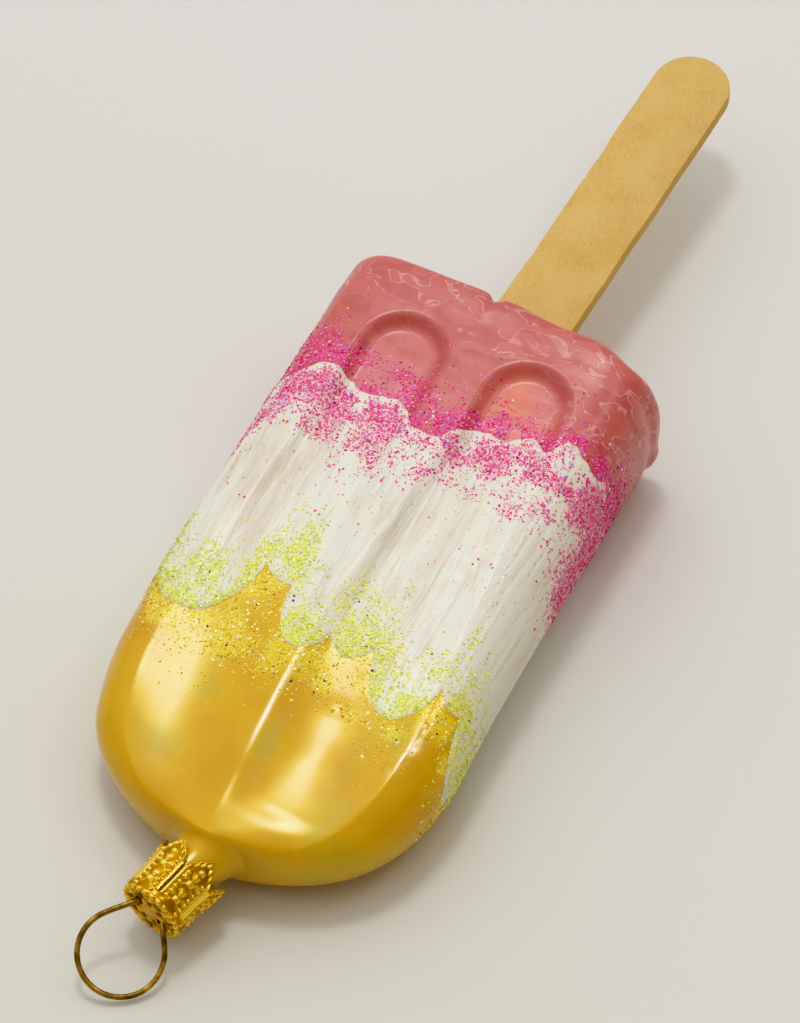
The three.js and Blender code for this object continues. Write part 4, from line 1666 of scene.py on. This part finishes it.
@dataclass
class CraftStick:
    """Flat birch stick with one round end, its edges a little uneven."""

    form: PopForm
    width: float = 10.0
    thickness: float = 2.0
    visible: float = 51.0
    pocket: float = 5.0
    offset: float = 0.7
    lean: float = math.radians(1.5)
    cuts: int = 60
    end_segments: int = 28

    def build(self) -> bpy.types.Object:
        """Makes the piece that stands for the stick's solid."""
        deselect()
        bpy.ops.mesh.primitive_cylinder_add(
            vertices=2 * self.end_segments, radius=self.width / 2 * MM, depth=self.thickness * MM,
            location=(0, (self.visible - self.width / 2) * MM, 0))
        stick = bpy.context.object
        stick.name = "craft_stick"
        bpy.ops.object.transform_apply(location=True, rotation=True, scale=True)
        self._draw_out(stick)
        self._cut_across(stick)
        self._wave_edges(stick)
        soft = stick.modifiers.new("soft_edges", "BEVEL")
        soft.width = 0.16 * MM
        soft.segments = 3
        soft.limit_method = "ANGLE"
        soft.angle_limit = math.radians(50)
        bpy.ops.object.modifier_apply(modifier=soft.name)
        lean = Matrix.Translation((self.offset * MM, self.form.body_length * MM, 0))
        lean = lean @ Matrix.Rotation(-self.lean, 4, "Z")
        stick.matrix_world = self.form.matrix() @ lean
        bpy.ops.object.transform_apply(location=True, rotation=True, scale=True)
        bpy.ops.object.shade_smooth_by_angle(angle=math.radians(40))
        finish_piece(stick, Slot.STICK, CraftBirch().build())
        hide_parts("stick")
        return stick

    def _draw_out(self, stick: bpy.types.Object) -> None:
        """Pulls the back half of the disc into the body, flattened to a blunt end."""
        centre = (self.visible - self.width / 2) * MM
        bpy.ops.object.mode_set(mode="EDIT")
        bpy.ops.mesh.select_mode(type="VERT")
        bpy.ops.mesh.select_all(action="DESELECT")
        bpy.ops.object.mode_set(mode="OBJECT")
        for vertex in stick.data.vertices:
            vertex.select = vertex.co.y < centre - 1e-6
        bpy.ops.object.mode_set(mode="EDIT")
        bpy.ops.transform.resize(value=(1, 0.1, 1), center_override=(0, centre, 0))
        back = self.visible - self.width / 2 + self.pocket - self.width / 20
        bpy.ops.transform.translate(value=(0, -back * MM, 0))
        bpy.ops.object.mode_set(mode="OBJECT")

    def _cut_across(self, stick: bpy.types.Object) -> None:
        """Cuts the straight length across, so that its edges can wander."""
        bpy.ops.object.mode_set(mode="EDIT")
        bpy.ops.mesh.select_mode(type="VERT")
        straight = self.visible - self.width / 2
        for step in np.linspace(1 - self.pocket, straight - 0.4, self.cuts):
            bpy.ops.mesh.select_all(action="SELECT")
            bpy.ops.mesh.bisect(plane_co=(0, step * MM, 0), plane_no=(0, 1, 0))
        bpy.ops.object.mode_set(mode="OBJECT")

    def _wave_edges(self, stick: bpy.types.Object) -> None:
        """Moves the long edges in and out as the stamping tool left them."""
        fine = SkinNoise(61, 9.0, 1.7, height=0.08)
        coarse = SkinNoise(62, 9.0, 5.0, height=0.07)
        straight = self.visible - self.width / 2
        for vertex in stick.data.vertices:
            y = vertex.co.y / MM
            side = 0.0 if vertex.co.x < 0 else 40.0
            near_end = float(smooth(self.visible, straight - 6, y))
            wave = float(fine(side, y)) + float(coarse(side, y))
            if vertex.co.x > 0:
                nick = 0.35 * math.exp(-((y - 1.6) / 0.5) ** 2)
            else:
                nick = -0.7 * math.exp(-abs(y) / 5)
            vertex.co.x += math.copysign(1, vertex.co.x) * (wave * near_end - 0.35 * abs(wave) - nick) * MM


@dataclass(frozen=True)
class SoftLight:
    """A rectangular light that points at the ornament."""

    name: str
    azimuth: float
    elevation: float
    size: tuple[float, float]
    watts: float
    distance: float = 0.9

    def build(self) -> None:
        """Adds the light, its azimuth from +Y towards +X and its elevation above the table, degrees."""
        data = bpy.data.lights.new(self.name, "AREA")
        data.shape = "RECTANGLE"
        data.size, data.size_y = self.size
        data.energy = self.watts
        az, el = math.radians(self.azimuth), math.radians(self.elevation)
        way = Vector((math.sin(az) * math.cos(el), math.cos(az) * math.cos(el), math.sin(el)))
        light = bpy.data.objects.new(self.name, data)
        light.location = way * self.distance
        side = Vector((0, 1, 0)).cross(way).normalized()
        turn = Matrix((side, way.cross(side), way)).transposed()
        light.rotation_euler = turn.to_euler()
        bpy.context.collection.objects.link(light)


@dataclass
class Studio:
    """Table, lights and camera."""

    form: PopForm
    azimuth: float = math.radians(27.964)
    elevation: float = math.radians(53.187)
    right_mm: float = 23.378
    up_mm: float = 38.57
    distance_mm: float = 594.037
    focal_px: float = 5155.3
    image_height_px: float = 1023.0
    sensor_mm: float = 36.0
    lights: tuple[SoftLight, ...] = (
        SoftLight("ceiling", -38, 76, (0.15, 0.13), 1.4), SoftLight("lamp", 52, 58, (0.1, 0.1), 0.28))
    window_way: tuple[float, float, float] = (-0.4, 0.22, 0.88)
    room_strength: float = 1.36
    table_size: float = 4.0

    def build(self) -> None:
        """Adds all that isn't part of the ornament."""
        self._camera()
        self._table()
        for light in self.lights:
            light.build()
        world = bpy.data.worlds.new("room_light")
        bpy.context.scene.world = world
        world.use_nodes = True
        tree = world.node_tree
        way = add_node(tree, "ShaderNodeTexCoord").outputs["Generated"]
        towards = add_node(tree, "ShaderNodeVectorMath", {
            0: way, 1: Vector(self.window_way).normalized()}, operation="DOT_PRODUCT")
        room = add_node(tree, "ShaderNodeValToRGB", {"Fac": towards.outputs["Value"]}, stops=(
            (0.0, "#8C7C6A"), (0.5, "#A6A29C"), (1.0, "#F2F5F8")))
        back = tree.nodes["Background"]
        tree.links.new(room.outputs["Color"], back.inputs["Color"])
        back.inputs["Strength"].default_value = self.room_strength
        bpy.context.scene.view_settings.view_transform = "Khronos PBR Neutral"

    def _camera(self) -> None:
        """Places the camera at the photograph's viewpoint."""
        az, el = self.azimuth, self.elevation
        right = Vector((math.cos(az), math.sin(az), 0))
        back = Vector((math.sin(az) * math.cos(el), -math.cos(az) * math.cos(el), math.sin(el)))
        up = back.cross(right)
        origin = Vector([float(v) for v in self.form.offset])
        place = origin + right * self.right_mm + up * self.up_mm + back * self.distance_mm
        data = bpy.data.cameras.new("camera")
        data.sensor_width = self.sensor_mm
        data.lens = self.focal_px * self.sensor_mm / self.image_height_px
        data.clip_start = 0.01
        camera = bpy.data.objects.new("camera", data)
        camera.matrix_world = Matrix.Translation(place * MM) @ Matrix((right, up, back)).transposed().to_4x4()
        bpy.context.collection.objects.link(camera)
        bpy.context.scene.camera = camera

    def _table(self) -> None:
        """Adds the table top that the ornament lies on."""
        deselect()
        bpy.ops.mesh.primitive_plane_add(size=self.table_size, location=(0, 0, 0))
        table = bpy.context.object
        table.name = "table_top"
        table.data.materials.append(TableTop().build())


PINK_FILM = GlitterFilm("hot_pink_glitter_film", (
    (0.0, "#E6187C"), (0.3, "#FF3694"), (0.6, "#FF5CA8"), (0.83, "#FF9ACA"), (0.9, "#B880F2"),
    (0.95, "#FFB45A"), (1.0, "#FFF4FC")))
LIME_FILM = GlitterFilm("lime_glitter_film", (
    (0.0, "#C8D02A"), (0.12, "#EEF024"), (0.55, "#FAFA36"), (0.84, "#F2F66A"), (0.92, "#B4CCC4"),
    (1.0, "#FFFFF4")))
GOLD_FILM = GlitterFilm("gold_glitter_film", (
    (0.0, "#B08A14"), (0.15, "#F0C81A"), (0.6, "#FFEC3A"), (0.85, "#FFF88A"), (1.0, "#FFFFE8")))
DARK_FILM = GlitterFilm("dark_glitter_film", ((0.0, "#15110D"), (1.0, "#3A2A33")))


def scatter_glitter(form: PopForm, coats: Lacquers) -> None:
    """Dusts the four kinds of glitter over the coats.

    Args:
        form: The pop's form.
        coats: The coats that the flakes lie on.
    """
    bands = GlitterBands(coats)
    coarse, fine = (0.14, 0.21), (0.08, 0.13)
    for name, slot, film, density, span, drawn, seed in (
            ("pink_glitter", Slot.PINK_GLITTER, PINK_FILM, bands.pink, (40, 74), 30000, 71),
            ("lime_glitter", Slot.LIME_GLITTER, LIME_FILM, bands.lime, (17, 54), 26000, 72),
            ("gold_glitter", Slot.LIME_GLITTER, GOLD_FILM, bands.gold, (12, 36), 16000, 73)):
        Glitter(f"{name}_coarse", form, coats, slot, film, density, span, drawn, seed, coarse).build()
        Glitter(f"{name}_fine", form, coats, slot, film, density, span, 3 * drawn, seed + 10, fine,
                sides=4).build()
    Glitter("dark_glitter", form, coats, Slot.PINK_GLITTER, DARK_FILM, bands.black, (14, 72), 700, 74,
            radius=(0.13, 0.2), tilt=0.1, mirrors=0.0).build()


def main() -> None:
    """Builds the ornament round its frame, then the studio."""
    logging.basicConfig(level=logging.INFO, format="%(name)s: %(message)s")
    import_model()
    form = PopForm()
    form.fit(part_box("glass_body"))
    LOG.info("body origin at %s mm", form.offset.round(3))
    coats = Lacquers(form)
    Studio(form).build()
    GlassBody(form, coats).build()
    WhiteCoat(form, coats).build()
    CoralCoat(form, coats).build()
    scatter_glitter(form, coats)
    CrownCap(form).build()
    HangerRing(form).build()
    CraftStick(form).build()


if __name__ == "__main__":
    main()
